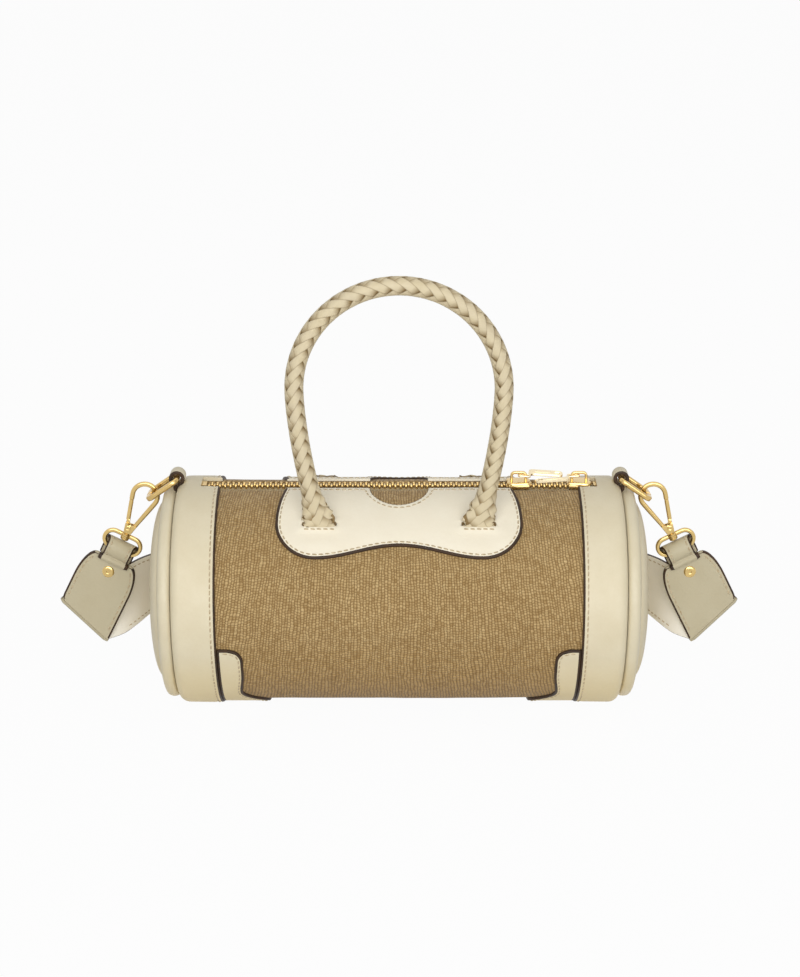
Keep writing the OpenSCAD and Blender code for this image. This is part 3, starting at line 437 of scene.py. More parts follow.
class Value:
    """A number in a material, which Python's signs can work with."""

    def __init__(self, graph, socket):
        self.graph, self.socket = graph, socket

    def __add__(self, other):
        return self.graph.math("ADD", self, other)

    def __radd__(self, other):
        return self.graph.math("ADD", other, self)

    def __sub__(self, other):
        return self.graph.math("SUBTRACT", self, other)

    def __rsub__(self, other):
        return self.graph.math("SUBTRACT", other, self)

    def __mul__(self, other):
        return self.graph.math("MULTIPLY", self, other)

    def __truediv__(self, other):
        return self.graph.math("DIVIDE", self, other)


class Graph:
    """The nodes of a material or a world, written as short calls."""

    def __init__(self, owner):
        owner.use_nodes = True
        self.tree = owner.node_tree

    def put(self, node, ins):
        """Links values to a node's sockets, or sets the sockets to them."""
        for key, value in ins.items():
            if isinstance(value, Value):
                self.tree.links.new(value.socket, node.inputs[key])
            else:
                node.inputs[key].default_value = value

    def node(self, kind, output, ins, **props):
        n = self.tree.nodes.new("ShaderNode" + kind)
        for key, value in props.items():
            setattr(n, key, value)
        self.put(n, ins)
        return Value(self, n.outputs[output])

    def coord(self, kind="Object"):
        return self.node("TexCoord", kind, {})

    def scaled(self, vec, scale):
        return self.node("Mapping", "Vector", {"Vector": vec, "Scale": scale})

    def math(self, op, a, b=None):
        ins = {0: a} if b is None else {0: a, 1: b}
        return self.node("Math", 0, ins, operation=op)

    def noise(self, vec, scale, detail=2.0, rough=0.5):
        ins = {"Vector": vec, "Scale": scale, "Detail": detail, "Roughness": rough}
        return self.node("TexNoise", "Fac", ins)

    def voronoi(self, vec, scale, feature="F1"):
        return self.node("TexVoronoi", "Distance", {"Vector": vec, "Scale": scale}, feature=feature)

    def random(self, kind, ins):
        return self.node("TexWhiteNoise", "Value", ins, noise_dimensions=kind)

    def remap(self, v, a, b, c, d):
        """Maps a..b to c..d, and holds it there."""
        ins = {"Value": v, "From Min": a, "From Max": b, "To Min": c, "To Max": d}
        return self.node("MapRange", "Result", ins)

    def mix(self, share, a, b):
        return self.node("Mix", 2, {"Factor": share, 6: a, 7: b}, data_type="RGBA")

    def split(self, vec):
        n = self.node("SeparateXYZ", 0, {"Vector": vec}).socket.node
        return [Value(self, out) for out in n.outputs]

    def join(self, x, y, z=0.0):
        return self.node("CombineXYZ", "Vector", {"X": x, "Y": y, "Z": z})

    def within(self, v):
        """The whole part of a number, and where it lies in its cell, from -1 to 1."""
        return self.math("FLOOR", v), self.math("FRACT", v) * 2.0 - 1.0


class Finish(Graph):
    """A material of one surface shader."""

    def __init__(self, name, color, rough, metallic=0.0, **sockets):
        self.mat = bpy.data.materials.new(name)
        super().__init__(self.mat)
        self.bsdf = next(n for n in self.tree.nodes if n.type == "BSDF_PRINCIPLED")
        for key, value in {"Base_Color": color, "Roughness": rough, "Metallic": metallic, **sockets}.items():
            self.set(key.replace("_", " "), value)

    def set(self, key, value):
        self.put(self.bsdf, {key: value})

    def bump(self, height, distance, strength=1.0):
        ins = {"Height": height, "Distance": distance, "Strength": strength}
        self.set("Normal", self.node("Bump", "Normal", ins))


def canvas_material():
    """Uneven threads: ribs along x, beads along the girth, both adrift."""
    g = Finish("canvas_weave", rgb(176, 146, 98), 0.82, Sheen_Weight=0.15, Sheen_Roughness=0.5)
    # Millimetres along the barrel and round it
    x, v, _ = g.split(g.scaled(g.coord("UV"), (100, 100, 100)))
    warp = g.noise(g.join(x * 0.045, v * 0.02), 1.0, 3.0)
    sway = g.noise(g.join(x * 0.22, v * 0.13), 1.0, 3.0, 0.6)
    shift = (warp - 0.5) * 4.0 + (sway - 0.5) * 2.0 + x * v * 0.0016
    lift = g.noise(g.join(x * 0.2, v * 0.2, 3.0), 1.0, 3.0, 0.6)
    rib_pitch, bead_pitch = 1.42, 1.36
    col, across = g.within((x + shift) / rib_pitch)
    rib = (1.0 - across * across) * 0.88 + 0.12
    odd = g.math("MODULO", g.math("ABSOLUTE", col), 2.0) * 0.5
    jitter = g.random("1D", {"W": col})
    drift = g.noise(g.join(col * 0.6, v * 0.12), 1.0, 2.0)
    row, along = g.within((v + lift * 2.6) / bead_pitch + (odd + (jitter * 0.5 + drift * 1.6)))
    bead = 1.0 - along * along * 0.72
    cell = g.random("2D", {"Vector": g.join(col, row)})
    slub = g.noise(g.join(col * 3.7, v * 0.16), 1.0, 2.0)
    fibre = g.noise(g.join(x * 9.0, v * 2.6), 1.0, 3.0, 0.7)
    height = rib * bead * g.remap(cell * 0.55 + slub * 0.6, 0.2, 0.9, 0.5, 1.05) + fibre * 0.16
    # Painted shade: the low places between the threads are coloured darker, as shade falls in them
    deep = g.remap(height, 0.08, 0.8, 0, 1)
    tone = g.remap(cell * 0.22 + slub * 0.85, 0.25, 0.9, 0, 1)
    base = g.mix(deep, rgb(124, 94, 46), g.mix(tone, rgb(178, 144, 90), rgb(214, 184, 130)))
    broad = g.noise(g.coord(), 16.0, 3.0, 0.6)
    shade = g.mix(deep, rgb(98, 70, 30), rgb(176, 140, 84))
    base = g.mix(g.remap(broad, 0.35, 0.7, 0.0, 0.28), base, shade)
    # Painted shade: the lower part is coloured darker and warmer, where shade falls on it
    _, _, up = g.split(g.coord())
    low = g.mix(deep, rgb(104, 72, 24), rgb(196, 154, 78))
    g.set("Base Color", g.mix(g.remap(up, 0.05, 0.005, 0.0, 0.75), base, low))
    g.set("Roughness", g.remap(height, 0, 1, 0.9, 0.66))
    g.bump(height, 0.0005, 0.85)
    return g.mat


def leather_material(name, base, dark, rough=0.5, grain=0.00007, painted_low_shade=0.0):
    """Grained leather in two tones; painted_low_shade is how far a painted warm shade tints its lower part,
    near the table.
    """
    g = Finish(name, base, rough, Specular_IOR_Level=0.42, Coat_Weight=0.0, Coat_Roughness=0.35)
    co = g.coord()
    pores, cells = g.voronoi(co, 1500.0), g.voronoi(co, 620.0, "SMOOTH_F1")
    fine, soft = g.noise(co, 900.0, 4.0, 0.6), g.noise(co, 55.0, 3.0, 0.55)
    crease = g.noise(g.scaled(co, (1.0, 1.6, 0.7)), 190.0, 5.0, 0.62)
    skin = g.mix(g.remap(soft * 0.75 + fine * 0.25, 0.34, 0.72, 0.0, 0.448), base, dark)
    _, _, up = g.split(co)
    # Painted shade: the lower part is tinted warmer, where shade falls near the table
    g.set("Base Color", g.mix(g.remap(up, 0.042, 0.004, 0.0, painted_low_shade), skin, rgb(244, 222, 164)))
    g.set("Roughness", g.remap(fine + soft * 0.5, 0.4, 1.1, rough - 0.09, rough + 0.12))
    g.bump(pores * 0.35 + (cells * 0.9 + (fine * 0.5 + crease * 1.3)), grain)
    return g.mat


def braid_material():
    """Leather strips, with painted shade: dark where a strip dives under another and along its edges."""
    g = Finish("braid_leather", rgb(226, 210, 178), 0.5, Specular_IOR_Level=0.42)
    over, across, _ = g.split(g.coord("UV"))
    soft, fine = g.noise(g.coord(), 140.0, 3.0, 0.6), g.noise(g.coord(), 1100.0, 4.0, 0.65)
    edge = g.math("ABSOLUTE", across * 2.0 - 1.0)
    # Painted shade where a strip dives under the next one
    tuck_shade = g.remap(over + (soft - 0.5) * 0.5, 0.35, 1.02, 1.0, 0.0)
    base = g.mix(g.remap(soft, 0.35, 0.68, 0, 0.5), rgb(224, 210, 178), rgb(204, 187, 146))
    base = g.mix(tuck_shade, base, rgb(142, 117, 74))
    # Painted shade along the strips' edges, where they shade each other
    g.set("Base Color", g.mix(g.remap(edge, 0.78, 1.0, 0.0, 0.6), base, rgb(112, 88, 50)))
    g.set("Roughness", g.remap(fine, 0.35, 0.65, 0.42, 0.6))
    g.bump(fine * 0.6 + soft, 0.00009)
    return g.mat


def thread_material():
    g = Finish("sewing_thread", rgb(196, 177, 142), 0.6, Sheen_Weight=0.2)
    ins = {"Vector": g.coord(), "Scale": 900.0, "Distortion": 1.5, "Detail": 1.0}
    twist = g.node("TexWave", "Fac", ins, bands_direction="DIAGONAL")
    tone = g.remap(g.noise(g.coord(), 420.0, 2.0), 0.3, 0.7, 0, 1)
    g.set("Base Color", g.mix(tone, rgb(178, 156, 118), rgb(214, 197, 164)))
    g.bump(twist, 0.00009, 0.8)
    return g.mat


def paint_material():
    g = Finish("edge_paint", rgb(54, 38, 22), 0.5, Specular_IOR_Level=0.3)
    cloud = g.noise(g.coord(), 300.0, 3.0)
    g.set("Base Color", g.mix(g.remap(cloud, 0.35, 0.7, 0, 1), rgb(44, 30, 17), rgb(68, 47, 28)))
    g.set("Roughness", g.remap(cloud, 0.3, 0.7, 0.45, 0.62))
    g.bump(g.noise(g.coord(), 700.0, 3.0), 0.00006)
    return g.mat


def metal_material(name, color, rough):
    g = Finish(name, color, rough, 1.0)
    cloud = g.noise(g.coord(), 120.0, 3.0)
    fine = g.noise(g.scaled(g.coord(), (1.0, 1.0, 5.0)), 900.0, 4.0, 0.7)
    darker = tuple(c * 0.86 for c in color[:3]) + (1.0,)
    g.set("Base Color", g.mix(g.remap(cloud, 0.35, 0.7, 0, 1), color, darker))
    g.set("Roughness", g.remap(cloud * 0.5 + fine * 0.5, 0.35, 0.68, rough - 0.06, rough + 0.12))
    g.bump(fine, 0.000006, 0.5)
    return g.mat


def woven_material(name, light, dark, pitch):
    """Twilled cloth with threads a pitch apart, in millimetres."""
    rough = 0.8
    g = Finish(name, light, rough, Sheen_Weight=0.15)
    co = g.scaled(g.coord(), (1000.0 / pitch,) * 3)
    x, y, z = g.split(co)
    d = y + z
    h = g.math("SINE", (x + d) * (pi * 2)) * g.math("SINE", (x - d) * (pi * 2)) * 0.5 + 0.5
    n = g.noise(co, 0.7, 3.0)
    g.set("Base Color", g.mix((h + n) * 0.5, dark, light))
    g.set("Roughness", g.remap(n, 0.3, 0.7, rough - 0.06, rough + 0.08))
    g.bump(h, 0.00012, 0.8)
    return g.mat


def board_material():
    g = Finish("grey_board", rgb(196, 190, 176), 0.85)
    fibre = g.noise(g.scaled(g.coord(), (1, 3, 3)), 260.0, 5.0, 0.7)
    tone = g.remap(fibre + g.voronoi(g.coord(), 400.0) * 0.4, 0.3, 1.0, 0, 1)
    g.set("Base Color", g.mix(tone, rgb(170, 162, 146), rgb(208, 203, 190)))
    g.bump(fibre, 0.0001, 0.7)
    return g.mat


M_CANVAS = canvas_material()
M_CREAM = leather_material("cream_leather", rgb(228, 217, 188), rgb(212, 197, 160), 0.46, painted_low_shade=0.8)
M_ROLL = leather_material("roll_leather", rgb(224, 214, 186), rgb(206, 192, 158), 0.38, 0.0001, 0.7)
M_PATCH = leather_material("patch_leather", rgb(249, 241, 220), rgb(236, 224, 197), 0.5, 0.00006)
M_BRAID = braid_material()
M_STRAP = leather_material("strap_leather", rgb(196, 186, 157), rgb(182, 169, 136), 0.52, 0.00008)
# The strap's reverse face, painted far lighter than its front: painted light on the run behind the bag, which
# lies in shade
M_BACK_PAINTED_LIGHT = leather_material("strap_back_painted_light", rgb(254, 249, 236), rgb(248, 240, 222), 0.6, 0.00005)
M_THREAD = thread_material()
M_PAINT = paint_material()
M_PULL = metal_material("pull_metal", rgb(246, 229, 192), 0.26)
M_GOLD = metal_material("hook_metal", rgb(218, 188, 124), 0.16)
M_RING = metal_material("ring_metal", rgb(216, 185, 122), 0.15)
M_SLIDER = metal_material("slider_metal", rgb(226, 196, 134), 0.2)
M_TEETH = metal_material("zip_metal", rgb(222, 190, 124), 0.26)
M_STEEL = metal_material("spring_steel", rgb(176, 176, 180), 0.3)
M_TAPE = woven_material("zip_tape", rgb(206, 186, 140), rgb(164, 142, 96), 0.55)
M_LINING = woven_material("lining_cloth", rgb(206, 192, 160), rgb(176, 160, 126), 0.5)
M_BOARD = board_material()
# A leather piece's skin, its painted edge and its thread
CREAM = [M_CREAM, M_PAINT, M_THREAD]


# Camera at the photograph's angle

CAM_ELEVATION, CAM_DISTANCE, CAM_AIM_Z = rad(21), 0.97, 0.056
cam_data = bpy.data.cameras.new("camera")
cam_data.sensor_width = 36.0
cam_data.lens = 71.5
cam_data.shift_x = 0.001
cam_data.shift_y = 0.1024
cam_data.clip_start = 0.01
cam = bpy.data.objects.new("camera", cam_data)
bpy.context.collection.objects.link(cam)
cam.location = (0, -CAM_DISTANCE * cos(CAM_ELEVATION), CAM_AIM_Z + CAM_DISTANCE * sin(CAM_ELEVATION))
cam.rotation_euler = (pi / 2 - CAM_ELEVATION, 0, 0)
bpy.context.scene.camera = cam


# Barrel

def grid_shell(us, vs, outer, inner, keep, mat_of):
    """A closed sheet on a grid, with cells left out. outer and inner give places at (i, j)."""
    nu, nv = len(us), len(vs)
    verts = [place(i, j) for place in (outer, inner) for i in range(nu) for j in range(nv)]
    under, faces, mats = nu * nv, [], []

    def cell(i, j):
        return 0 <= i < nu - 1 and 0 <= j < nv - 1 and keep(i, j)

    for i in range(nu - 1):
        for j in range(nv - 1):
            if not cell(i, j):
                continue
            a, d = i * nv + j, (i + 1) * nv + j
            b, c = a + 1, d + 1
            faces += [(a, b, c, d), (d + under, c + under, b + under, a + under)]
            mats += [mat_of(i), 0]
            walls = ((a, b, i - 1, j), (b, c, i, j + 1), (c, d, i + 1, j), (d, a, i, j - 1))
            for p, q, ni, nj in walls:
                if not cell(ni, nj):
                    faces.append((q, p, p + under, q + under))
                    mats.append(0)
    return verts, faces, mats


def near_lines(lo, hi, step, extra=()):
    """Evenly spaced numbers, with the extra ones put in and those close to them taken out."""
    n = max(1, int(round((hi - lo) / step)))
    even = [lo + (hi - lo) * i / n for i in range(n + 1)]
    out = [b for b in even if all(abs(b - e) > step * 0.35 for e in extra) or b in (lo, hi)]
    return sorted(set(out + [e for e in extra if lo <= e <= hi]))


def on_barrel(x, a, r):
    """A place at angle a in degrees above the front."""
    return (x, -r * cos(rad(a)), AXIS_Z + r * sin(rad(a)))


def about_barrel(side, x, r, t):
    """A place at angle t from the top towards the front."""
    return (side * x, -r * sin(t), AXIS_Z + r * cos(t))


STRIP_EDGE = atan(REST_HALF / AXIS_Z)
TOUCH = STRIP_EDGE + acos(BODY_R / hypot(REST_HALF, AXIS_Z))


def rest_radius(low_a):
    """Radius at an angle from the barrel's lowest line, where it rests on its flat strip and
    runs straight from the strip's edge to the round."""
    t = abs(low_a)
    if t > TOUCH:
        return BODY_R
    if t <= STRIP_EDGE:
        return AXIS_Z / cos(t)
    run, rise = BODY_R * sin(TOUCH) - REST_HALF, BODY_R * cos(TOUCH) - AXIS_Z
    return (REST_HALF * rise - AXIS_Z * run) / (rise * sin(t) - run * cos(t))


def canvas_r(x, a):
    """Radius of the woven skin: flat underneath, a little slack and uneven elsewhere."""
    low = rad(a + 90)
    flat = 1 - smooth((abs(x) - 50) / 12)
    round_off = smooth((degrees(abs(low)) - 4) / 20)
    uneven = wobble(x * 0.028, a * 0.022, 3.1) * 0.3 + wobble(x * 0.07, a * 0.05, 9.4) * 0.12
    slack = 0.12 * sin(pi * min(1, abs(x) / BAND_IN_X))
    r = BODY_R + flat * (rest_radius(low) - BODY_R)
    return r + min(uneven, 0.24) * (1 - (1 - round_off) * flat) - slack


def make_canvas():
    slit_in, slit_out = SLIT_X - SLIT_HALF_W, SLIT_X + SLIT_HALF_W
    slit_half_a = degrees(SLIT_HALF_H / (BODY_R + 0.5))
    far = -180 - TOP_EDGE_A
    xs = near_lines(-BOARD_END_X, BOARD_END_X, 2.4, (-slit_out, -slit_in, slit_in, slit_out))
    slit_lines = [a + d for a in (SLIT_A, -180 - SLIT_A) for d in (-slit_half_a, slit_half_a)]
    edge_lines = [TOP_EDGE_A - 0.35, TOP_EDGE_A - 1.0, far + 0.35, far + 1.0]
    angles = near_lines(far, TOP_EDGE_A, 2.5, edge_lines + slit_lines)

    def keep(i, j):
        x, a = (xs[i] + xs[i + 1]) / 2, (angles[j] + angles[j + 1]) / 2
        front = a if a > -90 else -180 - a
        return not (slit_in < abs(x) < slit_out and abs(front - SLIT_A) < slit_half_a)

    def outer(i, j):
        x, a = xs[i], angles[j]
        edge = min(1, TOP_EDGE_A - a, a - far)
        return on_barrel(x, a, canvas_r(x, a) - 0.45 * fall(1 - edge))

    def inner(i, j):
        return on_barrel(xs[i], angles[j], BODY_R - 1.1)

    verts, faces, mats = grid_shell(xs, angles, outer, inner, keep, lambda i: 0)
    uvs = [(x / 100, rad(a) * BODY_R / 100) for x in xs for a in angles] * 2
    ob = mesh_piece("canvas_barrel", verts, faces, [M_CANVAS], mats, uvs, sharp=60)
    dress(ob, "bag", "body_panel")


def make_band(side):
    lip, stitch_x = 0.9, BAND_IN_X + 2.3
    shoulder_drop, shoulder_under_r = 3.8, 52.2
    zip_a = degrees(asin(ZIP_GAP / 55.6))
    # Angles from the top: round the bag, and then across the zip's gap
    angles = near_lines(zip_a, 360 - zip_a, 2.2)
    angles += [360 - zip_a + 2 * zip_a * k / 6 for k in range(1, 7)]
    xs = [BAND_IN_X + d for d in (0, 0.12, 0.4, lip, 2.3, 4.5, 7, ZIP_REACH, 13, 16.3)]
    xs += [BOARD_END_X + SHOULDER * sin(rad(t)) for t in range(10, 91, 10)]

    def outer_r(x, phi):
        puff = 0.16 * wobble(x * 0.06 * side, phi * 0.045, 4.2) - 0.25 * exp(-((x - stitch_x) / 0.9) ** 2)
        if x < BAND_IN_X + lip:
            return BAND_R - 0.5 * fall(1 - (x - BAND_IN_X) / lip) + puff
        return BAND_R - shoulder_drop * fall(max(0, x - BOARD_END_X) / SHOULDER) + puff

    def at(x, phi, r):
        p = about_barrel(side, x, r, rad(phi))
        return (p[0], p[1], max(p[2], 0.02))

    def keep(i, j):
        return angles[j] < 360 - zip_a - 1e-6 or xs[i + 1] > BAND_IN_X + ZIP_REACH + 1e-6

    def outer(i, j):
        return at(xs[i], angles[j], outer_r(xs[i], angles[j] % 360))

    def inner(i, j):
        return at(xs[i], angles[j], BAND_UNDER_R if xs[i] < BOARD_END_X + 0.1 else shoulder_under_r)

    verts, faces, mats = grid_shell(xs, angles, outer, inner, keep, lambda i: 1 if i < 3 else 0)
    mats = [1 if all(abs(abs(verts[q][0]) - BAND_IN_X) < 0.01 for q in f) else m for f, m in zip(faces, mats)]
    b = Shapes()
    b.put((verts, faces, mats))
    sewn = [zip_a + 1.2 + (360 - 2 * zip_a - 2.4) * k / 180 for k in range(181)]
    line = [at(stitch_x, phi, outer_r(stitch_x, phi) - 0.02) for phi in sewn]
    stitch_row(b, line, [(0, -sin(rad(phi)), cos(rad(phi))) for phi in sewn])
    b.make("band_leather", "band", SIDE[side], CREAM, 50, "cream_leather")


def make_roll(side):
    # A squarish section, as an overstuffed roll has between two seams, smooth at the inner one
    middle_x, middle_r, half_w, half_h, n = 111.65, 49.35, 3.4, 4.25, 28
    smooth_to_r = middle_r - half_h - 0.1
    section = [(middle_r + half_h * signed_power(sin(t), 0.8), middle_x + half_w * signed_power(cos(t), 0.86))
        for t in (2 * pi * k / n for k in range(n))]

    def place(r, t, x):
        broad = wobble(cos(t) * 5.5, sin(t) * 5.5, side * 2.0 + x * 0.11)
        fine = wobble(cos(t) * 26, sin(t) * 26, x * 0.25 + side)
        wrinkle = (0.22 * broad + 0.09 * fine - 0.12) * max(0, (r - smooth_to_r) / (2 * half_h + 0.1))
        return about_barrel(side, x, r + wrinkle, t)

    verts, faces = turned(section + section[:1], 220, place)
    word = SIDE[side]
    ob = mesh_piece("padded_roll_" + word, verts, faces, [M_ROLL], [0] * len(faces), sharp=80)
    dress(ob, "bag", "end_roll_" + word)


def make_end_panel(side):
    middle_r, rim_r, flat_x, dome_x, dome_h, sides = 0.001, 44.9, 112.4, 115, 6.6, 128
    stitch_x, stitch_r = 117.15, 42.6
    profile = [(middle_r, flat_x), (44.0, flat_x), (44.6, 112.6), (rim_r, 113.2), (rim_r, 114.6)]
    for t in (rad(90 * k / 24) for k in range(1, 24)):
        profile.append((rim_r * cos(t) ** 0.55, dome_x + dome_h * sin(t) ** 0.9))
    profile.append((middle_r, dome_x + dome_h))

    def place(r, t, x):
        soft = 0.12 * wobble(cos(t) * r * 0.06, sin(t) * r * 0.06, 1.7 * side) if r > 1 else 0.0
        return about_barrel(side, x, r + soft, t)

    verts, _ = turned(profile, sides, place)
    b = Shapes()
    b.put((verts, grid_faces(len(profile), sides)))
    sewn = [2 * pi * k / 120 for k in range(120)]
    line = [about_barrel(side, stitch_x, stitch_r, t) for t in sewn]
    stitch_row(b, line, [(side * 0.8, -0.6 * sin(t), 0.6 * cos(t)) for t in sewn], 1, closed=True)
    b.make("end_leather", "end_panel", SIDE[side], [M_CREAM, M_THREAD], 50, "cream_leather")


# A base patch: half its angle, its middle radius, and the radius of its upper corners
BASE_HALF_A, BASE_MID_R, BASE_CORNER_R = rad(79), 55.8, 7
# Its reach in from the band underneath and at its waist, and how far its lobe stands out again
BASE_REACH, WAIST_REACH, LOBE_OUT = 23, 10.9, 1.4
# Shares of the way up the bag: where the reach starts to fall, and where the waist is
FALL_AT, WAIST_AT = 0.3, 0.58


def base_reach(share):
    """How far a base patch reaches in from the band, at a share of its way up the bag."""
    corner_share = BASE_CORNER_R / (BASE_HALF_A * BODY_R)
    corner = max(0, (share - 1 + corner_share) / corner_share)
    if share < WAIST_AT:
        reach = BASE_REACH - (BASE_REACH - WAIST_REACH) * ease((share - FALL_AT) / (WAIST_AT - FALL_AT))
    else:
        reach = WAIST_REACH + LOBE_OUT * ease((share - WAIST_AT) / 0.22)
    return reach - BASE_CORNER_R * fall(corner)


def make_base_patch(side):
    half = BASE_HALF_A * BASE_MID_R
    shares = [2 * k / 120 - 1 for k in range(121)]
    loop = [(BAND_IN_X - base_reach(abs(s)), s * half) for s in shares]
    loop = [(BAND_IN_X - 0.15, -half)] + loop + [(BAND_IN_X - 0.15, half)]

    def place(p, h):
        t, r = p[1] / BASE_MID_R, BODY_R + 0.1 + h
        return (side * p[0], r * sin(t), max(0.03, AXIS_Z - r * cos(t)))

    b = Shapes()
    # Real edge paint, laid 1.2 mm wide so that it also carries a painted shadow along the patch's edge
    b.put(sheet_patch(loop, place, 1.2, 0.5, 2.6, paint=1.2, fine=1.2))
    line = [p for p in inset(resample(loop, 1.2), 2.0) if p[0] < BAND_IN_X - 2.4]
    normals = [(0, sin(p[1] / BASE_MID_R), -cos(p[1] / BASE_MID_R)) for p in line]
    stitch_row(b, [place(p, 1.16) for p in line], normals)
    b.make("base_leather", "base_patch", SIDE[side], CREAM, 50, "cream_leather")


# Handle patches

NOTCH_W, NOTCH_H = 14.2, 15.0


def patch_outline():
    """Across the bag, and down from the zip's edge: a notch, two round lobes and an arch between."""
    lobe_x, lobe_y, lobe_r, top_x, arch_rise = 40, 27, 19, 55, 6.5
    notch = [(NOTCH_W * sin(rad(90 * i / 12)), NOTCH_H * cos(rad(90 * i / 12))) for i in range(13)]
    swell = lobe_x + lobe_r - top_x
    end = [(top_x + swell * sin(rad(90 * i / 8)), lobe_y * i / 8) for i in range(9)]
    corner = arc(lobe_x, lobe_y, lobe_r, 0, 90, 14)[1:]
    arch = [(lobe_x * (1 - i / 16), lobe_y + lobe_r - arch_rise * ease(i / 16)) for i in range(1, 17)]
    half = notch + end + corner + arch
    return half + [(-x, y) for x, y in reversed(half[1:-1])]


def round_rect(cx, cy, hx, hy, r):
    corners = ((1, 1, 0), (-1, 1, 90), (-1, -1, 180), (1, -1, 270))
    return [p for qx, qy, a in corners for p in arc(cx + qx * (hx - r), cy + qy * (hy - r), r, a, a + 90, 5)]


def make_handle_patch(face):
    outline = patch_outline()
    slits = [round_rect(s * SLIT_X, SLIT_S, SLIT_HALF_W, SLIT_HALF_H, 1.0) for s in (-1, 1)]

    def lift(p):
        """Swells round each slit, and sinks below it and beside it."""
        h = 0.22 * wobble(p[0] * 0.045, p[1] * 0.06, 5.0 + face)
        for s in (-1, 1):
            dx, dy = p[0] - s * SLIT_X, p[1] - SLIT_S
            h += 0.75 * exp(-((dx / 10.0) ** 6)) * exp(-((abs(dy) - 2.2) / 1.3) ** 2)
            h -= 0.45 * exp(-((dx / 11.5) ** 4)) * exp(-((dy - 6.6) / 2.4) ** 2)
            h -= 0.75 * exp(-((dx * s - 13.5) / 4.0) ** 2) * exp(-((dy + 2) / 7.0) ** 2)
        return h

    def angle(p):
        return PATCH_TOP_A - degrees(p[1] / PATCH_MID_R)

    def place(p, h):
        x, y, z = on_barrel(p[0], angle(p), PATCH_IN_R + h + (lift(p) * min(1, h) if h > 0.2 else 0))
        return (x, -face * y, z)

    def bare(p):
        """Whether an edge has no paint: the zip's edge, the slits and the notch."""
        x, y = abs(p[0]), p[1]
        near_slit = x < 53 and y < 35 and abs(x - SLIT_X) + abs(y - SLIT_S) < 14
        near_notch = 1.02 < hypot(x / NOTCH_W, y / NOTCH_H) < 1.4
        return y < 0.35 and x > 14.6 or near_slit or near_notch or y < 1.2 and x < 54

    def sew(line, **sizes):
        normals = [(0, face * cos(rad(angle(p))), sin(rad(angle(p)))) for p in line]
        stitch_row(b, [place(p, 1.17) for p in line], normals, **sizes)

    b = Shapes()
    # Real edge paint, laid 1.35 mm wide so that it also carries a painted shadow along the patch's edge
    b.put(sheet_patch(outline, place, PATCH_T, 0.5, 2.0, slits, paint=1.35, bare=bare))
    sew(inset(resample(outline, 1.0), 2.2), closed=True)
    for s in (-1, 1):
        row = [(s * SLIT_X - 7.6 + 15.2 * k / 12, SLIT_S + 3.1) for k in range(13)]
        sew(row, pitch=2.9, length=2.3, height=0.5)
    mats, word = [M_PATCH, M_PAINT, M_THREAD], FACE[face]
    b.make("patch_leather", "handle_patch", word, mats, 50, "patch_leather")


# Braided handles

# A strip's section, as shares of its half width and half thickness
STRIP = [(-1, 0), (-0.93, 0.42), (-0.72, 0.78), (-0.36, 0.97), (0, 1.03), (0.36, 0.97), (0.72, 0.78),
    (0.93, 0.42), (1, 0), (0.8, -0.6), (0, -0.8), (-0.8, -0.6)]
# Strips that wind each way, the length of one turn, and how far up a foot the braid gets round
STRIPS_EACH_WAY, LEAD, FLARE_LEN = 6, 38.4, 22
# Half sizes of the braid where it is round and where it is flat in its foot
ROUND_HALF, FLAT_HALF_W, FLAT_HALF_T = 3.36, 6.6, 0.7


def handle_path(step):
    """Across and up, from foot to foot."""
    leg = [(ARCH_R - LEG_IN * ((LEG_H - h) / LEG_H) ** 1.6, h) for h in (LEG_H * i / 40 for i in range(40))]
    leg = [(SLIT_X, -FOOT_SINK)] + leg
    points = [(-x, h) for x, h in leg] + arc(0, LEG_H, ARCH_R, 180, 0, 90) + leg[::-1]
    return resample(points, step, closed=False)


def braid_surface(flare, phi, lift):
    """Place and outward direction round the braid's section: across, and towards the front.
    flare goes from 0, flat, to 1, round."""
    t = (phi + 180.0) % 360.0 - 180.0
    fold = t / 90.0 if abs(t) <= 90 else copysign(2.0, t) - t / 90.0
    s, c = sin(rad(t)), cos(rad(t))
    flat = copysign((1 - abs(fold) ** 5) ** 0.5, c)
    u, w = flare * s + (1 - flare) * fold, flare * c + (1 - flare) * flat
    a = FLAT_HALF_W + (ROUND_HALF - FLAT_HALF_W) * flare
    b = FLAT_HALF_T + (ROUND_HALF - FLAT_HALF_T) * flare
    nx, nn = unit((u / a, w / b))
    return a * u + nx * lift, b * w + nn * lift, nx, nn


